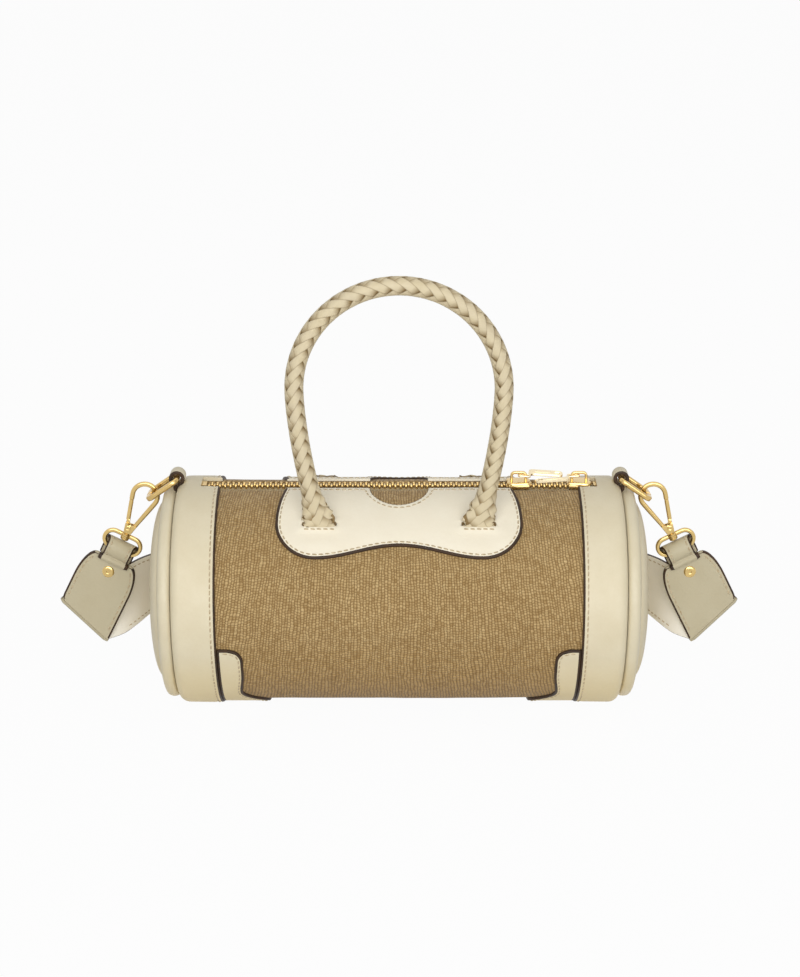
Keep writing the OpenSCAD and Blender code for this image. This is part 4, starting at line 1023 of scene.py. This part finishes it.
def make_handle(face, lean):
    """lean is how far the handle has fallen from upright, in degrees."""
    path = handle_path(0.9)
    ways = tangents(path)
    run = run_lengths(path)
    total, n = run[-1], len(path)
    turns = round(total / LEAD * STRIPS_EACH_WAY) / STRIPS_EACH_WAY
    flares = [smooth(min(d, total - d) / FLARE_LEN) for d in run]
    # Degrees by which the whole braid is turned, which drifts along the handle
    twists = [5 - 27 * smooth((d - 50) / 90) + 17 * smooth((d - 160) / 80) for d in run]

    def out(x, depth, h):
        y, z = depth * cos(rad(lean)) - h * sin(rad(lean)), depth * sin(rad(lean)) + h * cos(rad(lean))
        return (x, -face * (y - HINGE_Y), z + HINGE_Z)

    def beside(i, x, depth):
        """A place x across the braid from point i of its path."""
        return (path[i][0] + ways[i][1] * x, -depth, path[i][1] - ways[i][0] * x)

    b = Shapes()
    for way in (1, -1):
        for strand in range(STRIPS_EACH_WAY):
            centres, normals, overs = [], [], []
            for i, (d, flare) in enumerate(zip(run, flares)):
                phi = way * 360.0 * (d / total * turns + strand / STRIPS_EACH_WAY) + (0 if way > 0 else 14)
                over = max(-1.0, min(1.0, 1.55 * way * cos(rad(2 * phi))))
                uneven = 0.05 * wobble(d * 0.16, strand * 3.1 + way, 2.0)
                x, depth, nx, nd = braid_surface(flare, phi + twists[i], over * (0.3 + 0.22 * flare) + uneven)
                centres.append(beside(i, x, depth))
                normals.append((ways[i][1] * nx, -nd, -ways[i][0] * nx))
                overs.append(0.5 + 0.5 * over)
            verts, uvs = [], []
            for centre, t, normal, flare, over in zip(centres, tangents(centres), normals, flares, overs):
                normal = unit(add(normal, t, -sum(p * q for p, q in zip(normal, t))))
                side = cross(t, normal)
                half_w, half_t = 2.5 - 0.5 * flare, 0.42 + 0.08 * flare
                for p, q in STRIP:
                    verts.append(out(*add(add(centre, side, p * half_w), normal, q * half_t)))
                    uvs.append((over, 0.5 + 0.5 * p))
            b.put((verts, tube_faces(n, len(STRIP))), 0, uvs)
    # The core inside the strips, which takes the full painted shade of a tucked strip
    sides, verts = 16, []
    for i in range(0, n, 2):
        for k in range(sides):
            x, depth, _, _ = braid_surface(flares[i], 360.0 * k / sides, -0.45)
            verts.append(out(*beside(i, x, depth)))
    b.put((verts, tube_faces(len(verts) // sides, sides)), 0, [(0.0, 0.5)] * len(verts))
    word = FACE[face]
    ob = b.mesh("braid_" + word, [M_BRAID], 70)
    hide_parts("handle_" + word)
    low, high = [tuple(c * MM for c in out(0, 0, h)) for h in (-0.8, 7.0)]
    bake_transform(ob)
    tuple(low)
    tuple(high)


# Shoulder strap

# The leaf at each end of the strap, up the hook: its top, its full width, and its slanting fold
LEAF_TOP_U, LEAF_WIDE_U = -14.4, -30.4
FOLD_OUT_U, FOLD_IN_U, FOLD_SLOPE = LEAF_WIDE_U - 15, LEAF_WIDE_U - 25.5, 0.35


def hook_point(side, x, y, u):
    """A place in the hook's frame: x away from the bag, y back, u up the hook."""
    wx = HOOK_X + x * cos(LEAN) - u * sin(LEAN)
    return (side * wx, y, HOOK_Z + x * sin(LEAN) + u * cos(LEAN))


def strap_route():
    """The strap's lower and upper edge at places along it, from the left fold to the right."""
    def placed(share):
        return (share[0] * HOOK_X, share[1] * PILE_Y, share[2] * HOOK_Z)

    def stood(x, y, z):
        return ((x, y, z), (x, y, z + STRAP_W))

    half, back_y = STRAP_W / 2, 2.15
    # Where the strap turns upright, as shares of the hook's and the pile's places
    turning = [((1.03, 0.081, 0.355), (1.149, 0.058, 0.686)),
        ((0.986, 0.194, 0.384), (1.053, 0.161, 0.733)),
        ((0.949, 0.355, 0.402), (0.979, 0.339, 0.762))]
    head = [(hook_point(1, -half, back_y, FOLD_IN_U), hook_point(1, half, back_y, FOLD_OUT_U))]
    head += [(placed(a), placed(b)) for a, b in turning]
    first = (0.904, 0.548, 0.408)
    right = head + [stood(*placed(s)) for s in (first, (0.882, 0.742, 0.402), (0.86, 0.935, 0.378),
        (0.823, 1.129, 0.337), (0.764, 1.306, 0.284), (0.682, 1.435, 0.219), (0.593, 1.5, 0.148))]
    left = head + [stood(*placed(s)) for s in (first, (0.878, 0.75, 0.408), (0.844, 0.903, 0.404),
        (0.782, 0.984, 0.39), (0.697, 1, 0.366))]
    rings = [tuple((-x, y, z) for x, y, z in edges) for edges in left]
    # Down to the table, and then to and fro
    out_x, _, top_z = left[-1][0]
    for t in (i / 10 for i in range(1, 11)):
        rings.append(stood(t * (PILE_HALF + out_x) - out_x, PILE_Y, top_z * (1 - ease(t / 0.8))))
    for i in range(PILE_RUNS):
        way, y, r = (1, -1)[i % 2], PILE_Y + i * PILE_PITCH, PILE_PITCH / 2
        for a in (rad(30 * k) for k in range(1, 7)):
            rings.append(stood(way * (PILE_HALF + r * sin(a)), y + r * (1 - cos(a)), 0))
        rings.append(stood(way * PILE_HALF * 0.9, y + PILE_PITCH, 0))
        if i < PILE_RUNS - 1:
            rings.append(stood(0, y + PILE_PITCH, 0))
    for along, rise in ((0.3, 0), (0.6, 0.02), (0.82, 0.1), (1.01, 0.23)):
        rings.append(stood(along * PILE_HALF, PILE_Y + PILE_RUNS * PILE_PITCH, rise * STRAP_W))
    return rings + right[::-1]


def catmull(p0, p1, p2, p3, t):
    return tuple(0.5 * (2 * b + (c - a) * t + (2 * a - 5 * b + 4 * c - d) * t * t
        + (3 * b - a - 3 * c + d) * t ** 3) for a, b, c, d in zip(p0, p1, p2, p3))


def put_strap_run(b):
    rings = strap_route()
    last, fine = len(rings) - 1, []
    for i in range(last):
        near = [rings[min(last, max(0, i + k))] for k in (-1, 0, 1, 2)]
        steps = max(2, int(dist(near[1][0], near[2][0]) / 2.4))
        for t in (k / steps for k in range(steps)):
            fine.append([catmull(*(edges[q] for edges in near), t) for q in (0, 1)])
    fine.append(rings[-1])
    mids = [tuple((p + q) / 2 for p, q in zip(low, high)) for low, high in fine]
    ups = [unit(add(high, low, -1)) for low, high in fine]
    halves = [dist(low, high) / 2 for low, high in fine]
    outs = [unit(cross(t, up)) for t, up in zip(tangents(mids), ups)]
    skin = [(-1, 0.5), (-0.985, 0.86), (-0.955, 1.0), (-0.6, 1.0), (0, 1.0), (0.6, 1.0), (0.955, 1.0),
        (0.985, 0.86), (1, 0.5)]
    section = [(-1, -0.5)] + skin + [(u, -w) for u, w in reversed(skin[1:])]
    verts = [add(add(mid, up, u * (half - 0.05)), out, w)
        for mid, up, half, out in zip(mids, ups, halves, outs) for u, w in section]
    # One face of the run takes the reverse face's lighter leather, which is painted light
    across = [1 if j in (0, 1, 8, 9, 10, 17) else 3 if 1 < j < 8 else 0 for j in range(len(section))]
    b.put((verts, grid_faces(len(fine), len(section)), across * (len(fine) - 1)))
    for edge in (-1, 1):
        for face in (1.0, -1.0):
            rows = list(zip(mids, ups, halves, outs))[4:-4]
            line = [add(add(mid, up, edge * (half - 2.4)), out, face) for mid, up, half, out in rows]
            normals = [tuple(face * c for c in out) for _, _, _, out in rows]
            stitch_row(b, line, normals, pitch=3.1, length=2.1, width=0.6, height=0.34)


def put_leaf(b, side):
    """The leaf in front of the strap's end: narrow at the loop, with a slanting fold below."""
    top_half, wide_half, rise = 9, 15, 16
    shoulder = [(top_half + (wide_half - top_half) * sin(rad(9 * i)), LEAF_WIDE_U + rise * cos(rad(9 * i)))
        for i in range(11)]
    corner = [(x, LEAF_WIDE_U - u) for x, u in ((15, 12.6), (14.5, 14.4), (13.2, 15.6))]
    corner.append((-15, FOLD_IN_U))
    outline = shoulder + corner + [(-x, u) for x, u in reversed(shoulder)]

    def place(p, h):
        return hook_point(side, p[0], 1.0 - h, p[1])

    def fold_u(x):
        """Height of the slanting fold at x."""
        return (FOLD_OUT_U + FOLD_IN_U) / 2 + x * FOLD_SLOPE

    def bare(p):
        """Whether an edge has no paint: the top, inside the tab, and the fold."""
        return p[1] > LEAF_TOP_U - 0.5 or p[1] < fold_u(p[0]) + 1.2

    b.put(sheet_patch(outline, place, 2.0, 0.45, 2.6, paint=0.9, fine=1.2, bare=bare))
    sewn = [p for p in inset(resample(outline, 1.2), 2.2) if LEAF_TOP_U - 2.4 > p[1] > fold_u(p[0]) + 3.5]
    for half in (1, -1):
        row = sorted([p for p in sewn if half * p[0] > 0], key=lambda p: -p[1])
        line = [hook_point(side, x, -0.98, u) for x, u in row]
        stitch_row(b, line, [(0, -1, 0)] * len(row))


def put_fold(b, side):
    """The rounded fold that joins the leaf to the run behind it."""
    inner, outer = hook_point(side, -15, 0, FOLD_IN_U), hook_point(side, 15, 0, FOLD_OUT_U)
    way, length, middle_y = unit(add(outer, inner, -1)), dist(inner, outer), 1.075
    down = unit((way[2], 0, -way[0]))
    down = down if down[2] <= 0 else tuple(-c for c in down)
    arcs, rows, inner_r, verts = 12, 17, 0.12, []
    for t in (i / (rows - 1) for i in range(rows)):
        centre = add(add(inner, way, t * length), (0, 1, 0), middle_y)
        outer_r = middle_y + 1.0 - 0.7 * (1 - min(1, min(t, 1 - t) * length / 1.6)) ** 2
        angles = [pi * q / arcs for q in range(arcs + 1)]
        section = [(outer_r * cos(a), outer_r * sin(a) * 0.9) for a in angles]
        section += [(inner_r * cos(a), inner_r * sin(a) - 0.3) for a in angles[::-1]]
        verts += [add(add(centre, (0, -1, 0), forward), down, low) for forward, low in section]
    sides = 2 * (arcs + 1)
    b.put((verts, tube_faces(rows, sides), [0] * (rows - 1) * sides + [1, 1]))


def make_strap():
    b = Shapes()
    put_strap_run(b)
    for side in (-1, 1):
        put_leaf(b, side)
        put_fold(b, side)
    ob = b.mesh("strap_leather", [M_STRAP, M_PAINT, M_THREAD, M_BACK_PAINTED_LIGHT], 50)
    dress(ob, "bag", "strap")


# Rings, hooks and the strap's ends

# Where the hook's bow ends, and the way that its arm leans from there
BOW_END = (BOW_R * cos(rad(TAPER)), BOW_U - BOW_R * sin(rad(TAPER)))
ARM_WAY = (-sin(rad(TAPER)), -cos(rad(TAPER)))
# Heights of the swivel loop's lower bar and of the strap's rivet
SWIVEL_U, STRAP_RIVET_U = -8.9, -21.6


def make_ring(side):
    corner_r, half_w, length, slope = 2.6, 7.0, 16.8, rad(34.8)

    def at(a, y):
        """A place at a down the ring's slope."""
        return (side * (SEAM_X + a * cos(slope)), y, RING_Z - a * sin(slope))

    far = length - corner_r
    turns = ((far, 1, 90), (far, -1, 0), (corner_r, -1, -90), (corner_r, 1, 180))
    flat = [p for end, way, a in turns for p in arc(end, way * (half_w - corner_r), corner_r, a, a - 90, 7)]
    flat = resample(flat, 1.1)
    normal = (side * sin(slope), 0, cos(slope))
    # Thinner where the leather tab holds it
    thins = [0.96 if a > 1.2 else 0.9 for a, _ in flat]
    b = Shapes()
    b.put(wire([at(*p) for p in flat], [(1.42 * t, 1.34 * t) for t in thins], normal, closed=True))
    b.put(wire([at(length, y) for y in (-0.16, 0.16)], (1.46, 1.38), normal))
    word = SIDE[side]
    b.make("ring_wire", "ring", word, [M_RING], 35, "ring_metal", body="ring_" + word)


def make_ring_tab(side):
    legs = [(0.9, -7.6), (0.9, -5.4), (0.92, -3.4), (1.5, -2.75)]
    path = legs + arc(0, 0, 3.0, -36, 216, 30) + [(-x, z) for x, z in reversed(legs)]
    path = resample(path, 0.7, closed=False)
    n = len(path)
    mids = [(side * (SEAM_X + x), 0.0, RING_Z + z) for x, z in path]
    outs = [(side * tz, 0, -tx) for tx, tz in tangents(path)]
    wide = [4.2 - 0.12 * sin(i * 0.35) ** 2 for i in range(n)]
    b = Shapes()
    b.put(ribbon(mids, [(0, 1, 0)] * n, outs, wide, 0.9, 0.55))
    b.make("ring_tab_leather", "ring_tab", SIDE[side], [M_CREAM, M_PAINT], 40, "cream_leather")


def along(start, way, distance):
    return (start[0] + distance * way[0], start[1] + distance * way[1])


def make_hook(side):
    def at(x, y, u):
        return hook_point(side, x, y, u)

    b = Shapes()
    # The wire: up one arm, over the bow and a little way down towards the gate
    foot = along(BOW_END, ARM_WAY, 14.9)
    arm = [(-x, u) for x, u in (along(foot, unit(add(BOW_END, foot, -1)), 14.9 * i / 9) for i in range(1, 9))]
    line = [(0.35 - foot[0], foot[1] - 1.6)] + arm + arc(0, BOW_U, BOW_R, 180 + TAPER, -TAPER, 26)
    line += [along(BOW_END, ARM_WAY, d) for d in (0.9, 1.8, 2.7)]
    sizes = [(1.02 + 0.16 * min(1, i / 6), 1.14) for i in range(len(line))]
    b.put(wire([at(x, 0, u) for x, u in line], sizes, (0, 1, 0)))
    cheek = [(-1.7, 1.25), (1.7, 1.25), (2.1, 2.3), (2.5, 4.2), (2.95, 6.3), (2.7, 6.62), (1.2, 6.1),
        (0.2, 5.75), (-0.9, 6.0), (-2.0, 6.55), (-2.75, 6.65), (-2.97, 6.3), (-2.5, 4.2), (-2.1, 2.3)]
    for face in (-1, 1):
        b.put(sheet_patch(cheek, lambda p, h: at(p[0], face * (1.22 + h), p[1]), 0.86, 0.3, 0.8))
    core = [(-1.7, 1.3), (-0.85, 1.3), (-0.85, 5.6), (-1.2, 6.0), (-2.6, 6.4), (-2.85, 6.2),
        (-2.4, 4.2), (-2.0, 2.3)]
    b.put(sheet_patch(core, lambda p, h: at(p[0], h - 1.3, p[1]), 2.6, 0.1, 0.9))
    b.put(box((-1.66, -1.3, 1.22), (1.66, 1.3, 2.75), 0.2, at))
    stem = [(0.02, 1.6), (1.25, 1.6), (1.25, -1.48), (1.3, -1.52), (2.0, -1.56), (2.14, -1.74),
        (2.14, -2.3), (1.95, -2.62), (1.4, -2.86), (0.7, -2.96), (0.02, -2.98)]
    b.put(lathe(stem, 24, at))
    word = SIDE[side]
    b.make("hook_body", "hook", word, [M_GOLD], 35, "hook_metal", body="hook_" + word)


def on_pin(side, x, y, u):
    """A place in the hook's frame, from the gate's pin."""
    return hook_point(side, GATE_PIN[0] + x, y, GATE_PIN[1] + u)


def make_gate_pin(side):
    b = Shapes()
    cap = [(0.02, 2.14), (0.4, 2.14), (0.46, 2.3), (0.62, 2.32), (0.95, 2.42), (1.2, 2.34), (1.22, 2.1),
        (0.02, 2.05)]
    for face in (-1, 1):
        b.put(lathe(cap, 20, lambda x, u, h: on_pin(side, x, face * h, u)))
    shaft = [(0.02, -2.1), (0.78, -2.1), (0.78, 2.1), (0.02, 2.1)]
    b.put(lathe(shaft, 16, lambda x, u, h: on_pin(side, x, h, u)))
    word = SIDE[side]
    b.make("gate_pin_riveted", "gate_pin", word, [M_GOLD], 35, "hook_metal", body="hook_" + word)


def make_gate(side):
    b = Shapes()
    tip, low = along(BOW_END, ARM_WAY, 3.05), (2.503, 8.25)
    line = [(low[0] - 0.55, low[1] - 0.9)] + [along(low, add(tip, low, -1), t / 8) for t in range(9)]
    sizes = [(0.8, 0.8)] + [(1.06, 1.08)] * 8 + [(0.98, 1.0)]
    b.put(wire([hook_point(side, x, 0, u) for x, u in line], sizes, (0, 1, 0)))
    # The ear round the pin, and the lever from it to the wire
    y0, y1 = -1.08, 0.11
    ear = [(0.88, y0), (1.45, y0), (1.52, y0 + 0.1), (1.52, y1 - 0.1), (1.45, y1), (0.88, y1), (0.88, y0)]
    b.put(lathe(ear, 22, lambda x, u, h: on_pin(side, x, h, u)))
    dx, du = unit(add(low, GATE_PIN, -1))
    b.put(box((-0.86, y0 + 0.03, 1.2), (0.86, y1 - 0.03, 4.4), 0.16,
        lambda x, y, u: on_pin(side, x * du + u * dx, y, u * du - x * dx)))
    word = SIDE[side]
    b.make("gate_arm", "gate", word, [M_GOLD], 35, "hook_metal", body="gate_" + word)


def make_swivel_loop(side):
    end_x, end_r = 5, 4.3
    end_u = SWIVEL_U + end_r
    line = [(1.75, -0.3)] + arc(end_x, end_u, end_r, 90, -90, 15) + [(x, SWIVEL_U) for x in (3, 1, -1, -3)]
    line += arc(-end_x, end_u, end_r, 270, 90, 15) + [(-1.75, -0.3)]
    b = Shapes()
    points = [hook_point(side, x, 0, u) for x, u in resample(line, 1.0, closed=False)]
    b.put(wire(points, (1.08, 1.12), (0, 1, 0)))
    hub = [(1.36, -1.4), (2.2, -1.4), (2.36, -1.26), (2.36, -0.55), (2.12, -0.42), (2.12, -0.2),
        (2.36, -0.08), (2.36, 0.5), (2.2, 0.62), (1.95, 0.66), (1.95, 0.88), (1.8, 1.0), (1.36, 1.0),
        (1.36, -1.4)]
    b.put(lathe(hub, 28, lambda x, y, u: hook_point(side, x, y, u)))
    b.make("swivel_loop_wire", "swivel_loop", SIDE[side], [M_GOLD], 35, "hook_metal")


def make_strap_tab(side):
    """Round the loop, with its tails on both sides of the leaf."""
    across = unit(add(hook_point(side, 1, 0, 0), hook_point(side, 0, 0, 0), -1))
    up = unit(add(hook_point(side, 0, 0, 1), hook_point(side, 0, 0, 0), -1))
    b = Shapes()

    def put_ribbon(path, half_ws, half_t, bevel):
        """Lays a ribbon along a path of (back, up) points, and returns its middles and outsides."""
        mids = [hook_point(side, 0, y, u) for y, u in path]
        outs = [add((0, tu, 0), up, -ty) for ty, tu in tangents(path)]
        b.put(ribbon(mids, [across] * len(path), outs, half_ws, half_t, bevel))
        return mids, outs

    path = [(1.9, -26.3), (1.9, -22.0), (1.95, -18.0), (2.4, -14.6)] + arc(0, SWIVEL_U, 4.35, -50, 238, 36)
    path = resample(path + [(-2.55, -13.3), (-1.95, -15.2), (-1.92, -16.6)], 0.8, closed=False)
    wide = [6.6 + (1.75 if u > -15 else 0.5) * smooth((y + 3.4) / 6.4) for y, u in path]
    mids, outs = put_ribbon(path, wide, 0.82, 0.75)
    front = [i for i, (y, u) in enumerate(path) if y < 0.6 and u > -13.4]
    for edge in (-1, 1):
        line = [add(add(mids[i], across, edge * (wide[i] - 1.9)), outs[i], 0.82) for i in front]
        stitch_row(b, line, [outs[i] for i in front], pitch=2.6, length=2.1, width=0.85, height=0.6)
    # The band that pulls the tab together
    lip = [(-1.2, -14.2), (-1.9, -13.9), (-2.75, -14.3), (-3.0, -15.1), (-2.6, -15.9), (-1.7, -16.2)]
    lip = resample(lip, 0.5, closed=False)
    put_ribbon(lip, [7.9] * len(lip), 0.6, 1.7)
    word, mats = SIDE[side], [M_STRAP, M_PAINT, M_THREAD]
    b.make("strap_tab_leather", "strap_tab", word, mats, 40, "strap_leather")


def make_strap_rivet(side):
    b = Shapes()
    dome = [(0.02, 0.34), (0.7, 0.34), (0.86, 0.5), (1.1, 0.56), (1.9, 0.6), (2.6, 0.42), (2.95, 0.12),
        (2.98, 0), (0.02, 0)]
    for face, base in ((-1, 1.02), (1, 2.78)):
        cap = [(r, base + h) for r, h in dome]
        b.put(lathe(cap, 28, lambda x, u, h: hook_point(side, x, face * h, STRAP_RIVET_U + u)))
    shaft = [(0.02, -1.1), (1.46, -1.1), (1.46, 2.85), (0.02, 2.85)]
    b.put(lathe(shaft, 16, lambda x, u, h: hook_point(side, x, h, STRAP_RIVET_U + u)))
    b.make("strap_rivet_domed", "strap_rivet", SIDE[side], [M_GOLD], 35, "hook_metal")


# Zip

# Sliders' places along the zip, the teeth's pitch and number, and the first tooth's place
SLIDER_X = {"left": 58.5, "right": 88.0}
TOOTH_PITCH, TOOTH_COUNT, FIRST_TOOTH_X = 2.6, 70, -92.8
# Heights of a slider's upper plate and of the pull's eye
TOP_PLATE_Z, EYE_Z = 111.36, 115.45


def make_slider(word, end):
    """end is the side of the slider's wide nose."""
    x0, b = SLIDER_X[word], Shapes()
    plate = [(-5.7, 3.7), (-5.1, 4.4), (-2.0, 4.7), (1.6, 5.3), (4.2, 5.35), (5.3, 4.6), (5.75, 3.0),
        (5.75, 1.2), (4.9, 0)]
    plate = smooth_line(plate + [(x, -y) for x, y in reversed(plate[:-1])], 2, closed=True)

    def on_top(p, h):
        return (x0 + end * p[0], p[1], TOP_PLATE_Z + h + 0.12 * (1 - (p[1] / 5.4) ** 2))

    b.put(sheet_patch(plate, on_top, 1.36, 0.5, 1.0))
    for face in (-1, 1):
        b.put(box((-5.2, 3.34, 109.58), (5.2, 4.62, 111.7), 0.32,
            lambda x, y, z: (x0 + end * x, face * (y + 0.55 * smooth((x + 5) / 9)), z)))
    crown = [(-3.5, 112.3), (-3.5, 113.6), (-3.5, 114.4)] + arc(-1.94, 115.2, 1.56, 180, 96, 7)
    crown = resample(crown + [(0.0, 116.76)] + [(-x, z) for x, z in reversed(crown)], 0.45, closed=False)
    b.put(wire([(x0 + x, 0, z) for x, z in crown], (0.68, 0.97), (0, 1, 0)))
    b.make("slider_body", "slider", word, [M_SLIDER], 38, "slider_metal", body="slider_" + word)


def make_pull(word, way, face):
    """way is the side the pull lies to along the zip, face the side of the crown it lies on."""
    x0, slope, b = SLIDER_X[word], rad(4), Shapes()

    def at(a, y, h):
        """A place at a along the pull, y to its side and h above it."""
        lean = max(0.0, y - 2.6) * (0.25 if face > 0 else 0.0)
        x, z = a * cos(slope) + h * sin(slope), lean - a * sin(slope) + h * cos(slope)
        return (x0 + way * x, face * y, EYE_Z + z)

    eye = [(0.0, -1.25), (0.35, -1.75), (5.1, -1.75), (5.45, -1.3), (5.45, 0), (5.45, 1.3), (5.1, 1.78),
        (0.35, 1.78), (0.0, 1.25)]
    eye = resample(smooth_line(eye, 1), 0.5, closed=False)
    b.put(wire([at(a, y, 0) for a, y in eye], (0.46, 0.46), (0, 0, 1)))
    b.put(wire([at(0, y, 0) for y in (-1.4, -0.7, 0, 0.7, 1.4)], (0.44, 0.44), (0, 0, 1)))
    plate = [(4.95, 2.75), (4.95, 1.2), (6.2, 1.2), (6.6, 2.66), (9, 2.62), (20.4, 2.62), (21.6, 3.0),
        (21.95, 4.0), (21.95, 5.2), (21.6, 6.2), (20.4, 6.58), (8, 6.58), (5.9, 6.4), (5.2, 5.6)]
    hole = [(18.2, 3.7), (20.2, 3.7), (20.6, 4.6), (20.2, 5.5), (18.2, 5.5), (17.8, 4.6)]
    plate, hole = [smooth_line(line, 1, closed=True) for line in (plate, hole)]
    b.put(sheet_patch(plate, lambda p, h: at(p[0], p[1], h - 0.6), 1.18, 0.35, 0.9, [hole]))
    rib = [(8, 3.5), (16.4, 3.5), (16.9, 4.6), (16.4, 5.7), (8, 5.7), (7.5, 4.6)]
    rib = smooth_line(rib, 2, closed=True)
    b.put(sheet_patch(rib, lambda p, h: at(p[0], p[1], h + 0.5), 0.28, 0.2, 0.9))
    b.make("pull_tab", "pull", word, [M_PULL], 38, "slider_metal", body="pull_" + word)


def make_teeth(face):
    """The rear row's teeth lie between the front row's."""
    b = Shapes()
    for i in range(TOOTH_COUNT):
        x0 = FIRST_TOOTH_X + i * TOOTH_PITCH + (TOOTH_PITCH / 2 if face > 0 else 0)
        for lo, hi, bevel in (((-0.52, 1.0, 109.33), (0.52, 3.16, 111.1), 0.3),
                ((-0.5, -0.86, 109.5), (0.5, 1.5, 110.95), 0.34)):
            b.put(box(lo, hi, bevel, lambda x, y, z: (x0 + x, face * y, z)))
    b.make("zip_teeth_metal", "zip_teeth", FACE[face], [M_TEETH], 30, "zip_metal")


make_canvas()
for face in FACE:
    make_teeth(face)
for side in SIDE:
    make_ring(side)
    make_ring_tab(side)
    make_hook(side)
    make_gate_pin(side)
    make_gate(side)
    make_swivel_loop(side)
    make_strap_tab(side)
    make_strap_rivet(side)
make_slider("left", -1)
make_slider("right", 1)
make_pull("left", 1, 1)
make_pull("right", -1, -1)
for side in SIDE:
    make_band(side)
    make_roll(side)
    make_end_panel(side)
    make_base_patch(side)
for face in FACE:
    make_handle_patch(face)
make_handle(-1, 0)
make_handle(1, 121)
make_strap()

# Solids that stay as they are, with a better material
for mat, nodes in ((M_BOARD, ("body_board", "end_board_left", "end_board_right")),
        (M_LINING, ("lining_tube", "lining_end_left", "lining_end_right")),
        (M_BRAID, ("handle_tails_front", "handle_tails_rear")),
        (M_TAPE, ("zip_tape_front", "zip_tape_rear")),
        (M_TEETH, ("zip_stops",)), (M_STEEL, ("gate_spring_left", "gate_spring_right"))):
    for node in nodes:
        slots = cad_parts[node].data.materials
        slots.clear()
        slots.append(mat)


# Stage and light

def shown_as(owner, lit, seen, end, share=1.0):
    """Gives the camera, metal and glass a share of one shader, and all else another."""
    g = Graph(owner)
    g.tree.nodes.clear()
    kinds = ("Camera", "Glossy", "Transmission")
    camera, glossy, through = [g.node("LightPath", f"Is {kind} Ray", {}) for kind in kinds]
    rays = g.math("MAXIMUM", g.math("MAXIMUM", camera, glossy), through)
    lit, seen = [g.node(kind, 0, dict(enumerate(values))) for kind, *values in (lit, seen)]
    mix = g.node("MixShader", 0, {0: rays * share, 1: lit, 2: seen})
    g.put(g.tree.nodes.new("ShaderNode" + end), {"Surface": mix})


def make_stage():
    half, below, white = 6, -0.0004, (1, 1, 1, 1)
    corners = ((-half, -half), (half, -half), (half, half), (-half, half))
    me = bpy.data.meshes.new("floor")
    me.from_pydata([(x, y, below) for x, y in corners], [], [(0, 1, 2, 3)])
    ob = bpy.data.objects.new("floor", me)
    bpy.context.collection.objects.link(ob)
    mat = bpy.data.materials.new("floor_white")
    # A small share stays lit, and keeps the object's shadow
    shown_as(mat, ("BsdfDiffuse", (0.7, 0.7, 0.7, 1)), ("Emission", white, 1.0), "OutputMaterial", 0.96)
    me.materials.append(mat)
    world = bpy.data.worlds.new("studio")
    bpy.context.scene.world = world
    shown_as(world, ("Background", white, 0.34), ("Background", white, 1.0), "OutputWorld")


def area(name, place, target, size, power):
    lamp = bpy.data.lights.new(name, "AREA")
    lamp.shape = "RECTANGLE"
    lamp.size = lamp.size_y = size
    lamp.energy = power
    ob = bpy.data.objects.new(name, lamp)
    bpy.context.collection.objects.link(ob)
    ob.location = place
    ob.rotation_euler = (Vector(target) - Vector(place)).to_track_quat("-Z", "Y").to_euler()


make_stage()
area("key", (-0.25, -1.45, 0.8), (0, 0, 0.07), 1.0, 10.0)
area("fill_front", (0.4, -1.5, 0.4), (0, 0, 0.06), 0.9, 7.6)
area("top", (0.1, 0.1, 1.5), (0, 0, 0.05), 1.2, 2.2)
bpy.context.scene.view_settings.view_transform = "Standard"
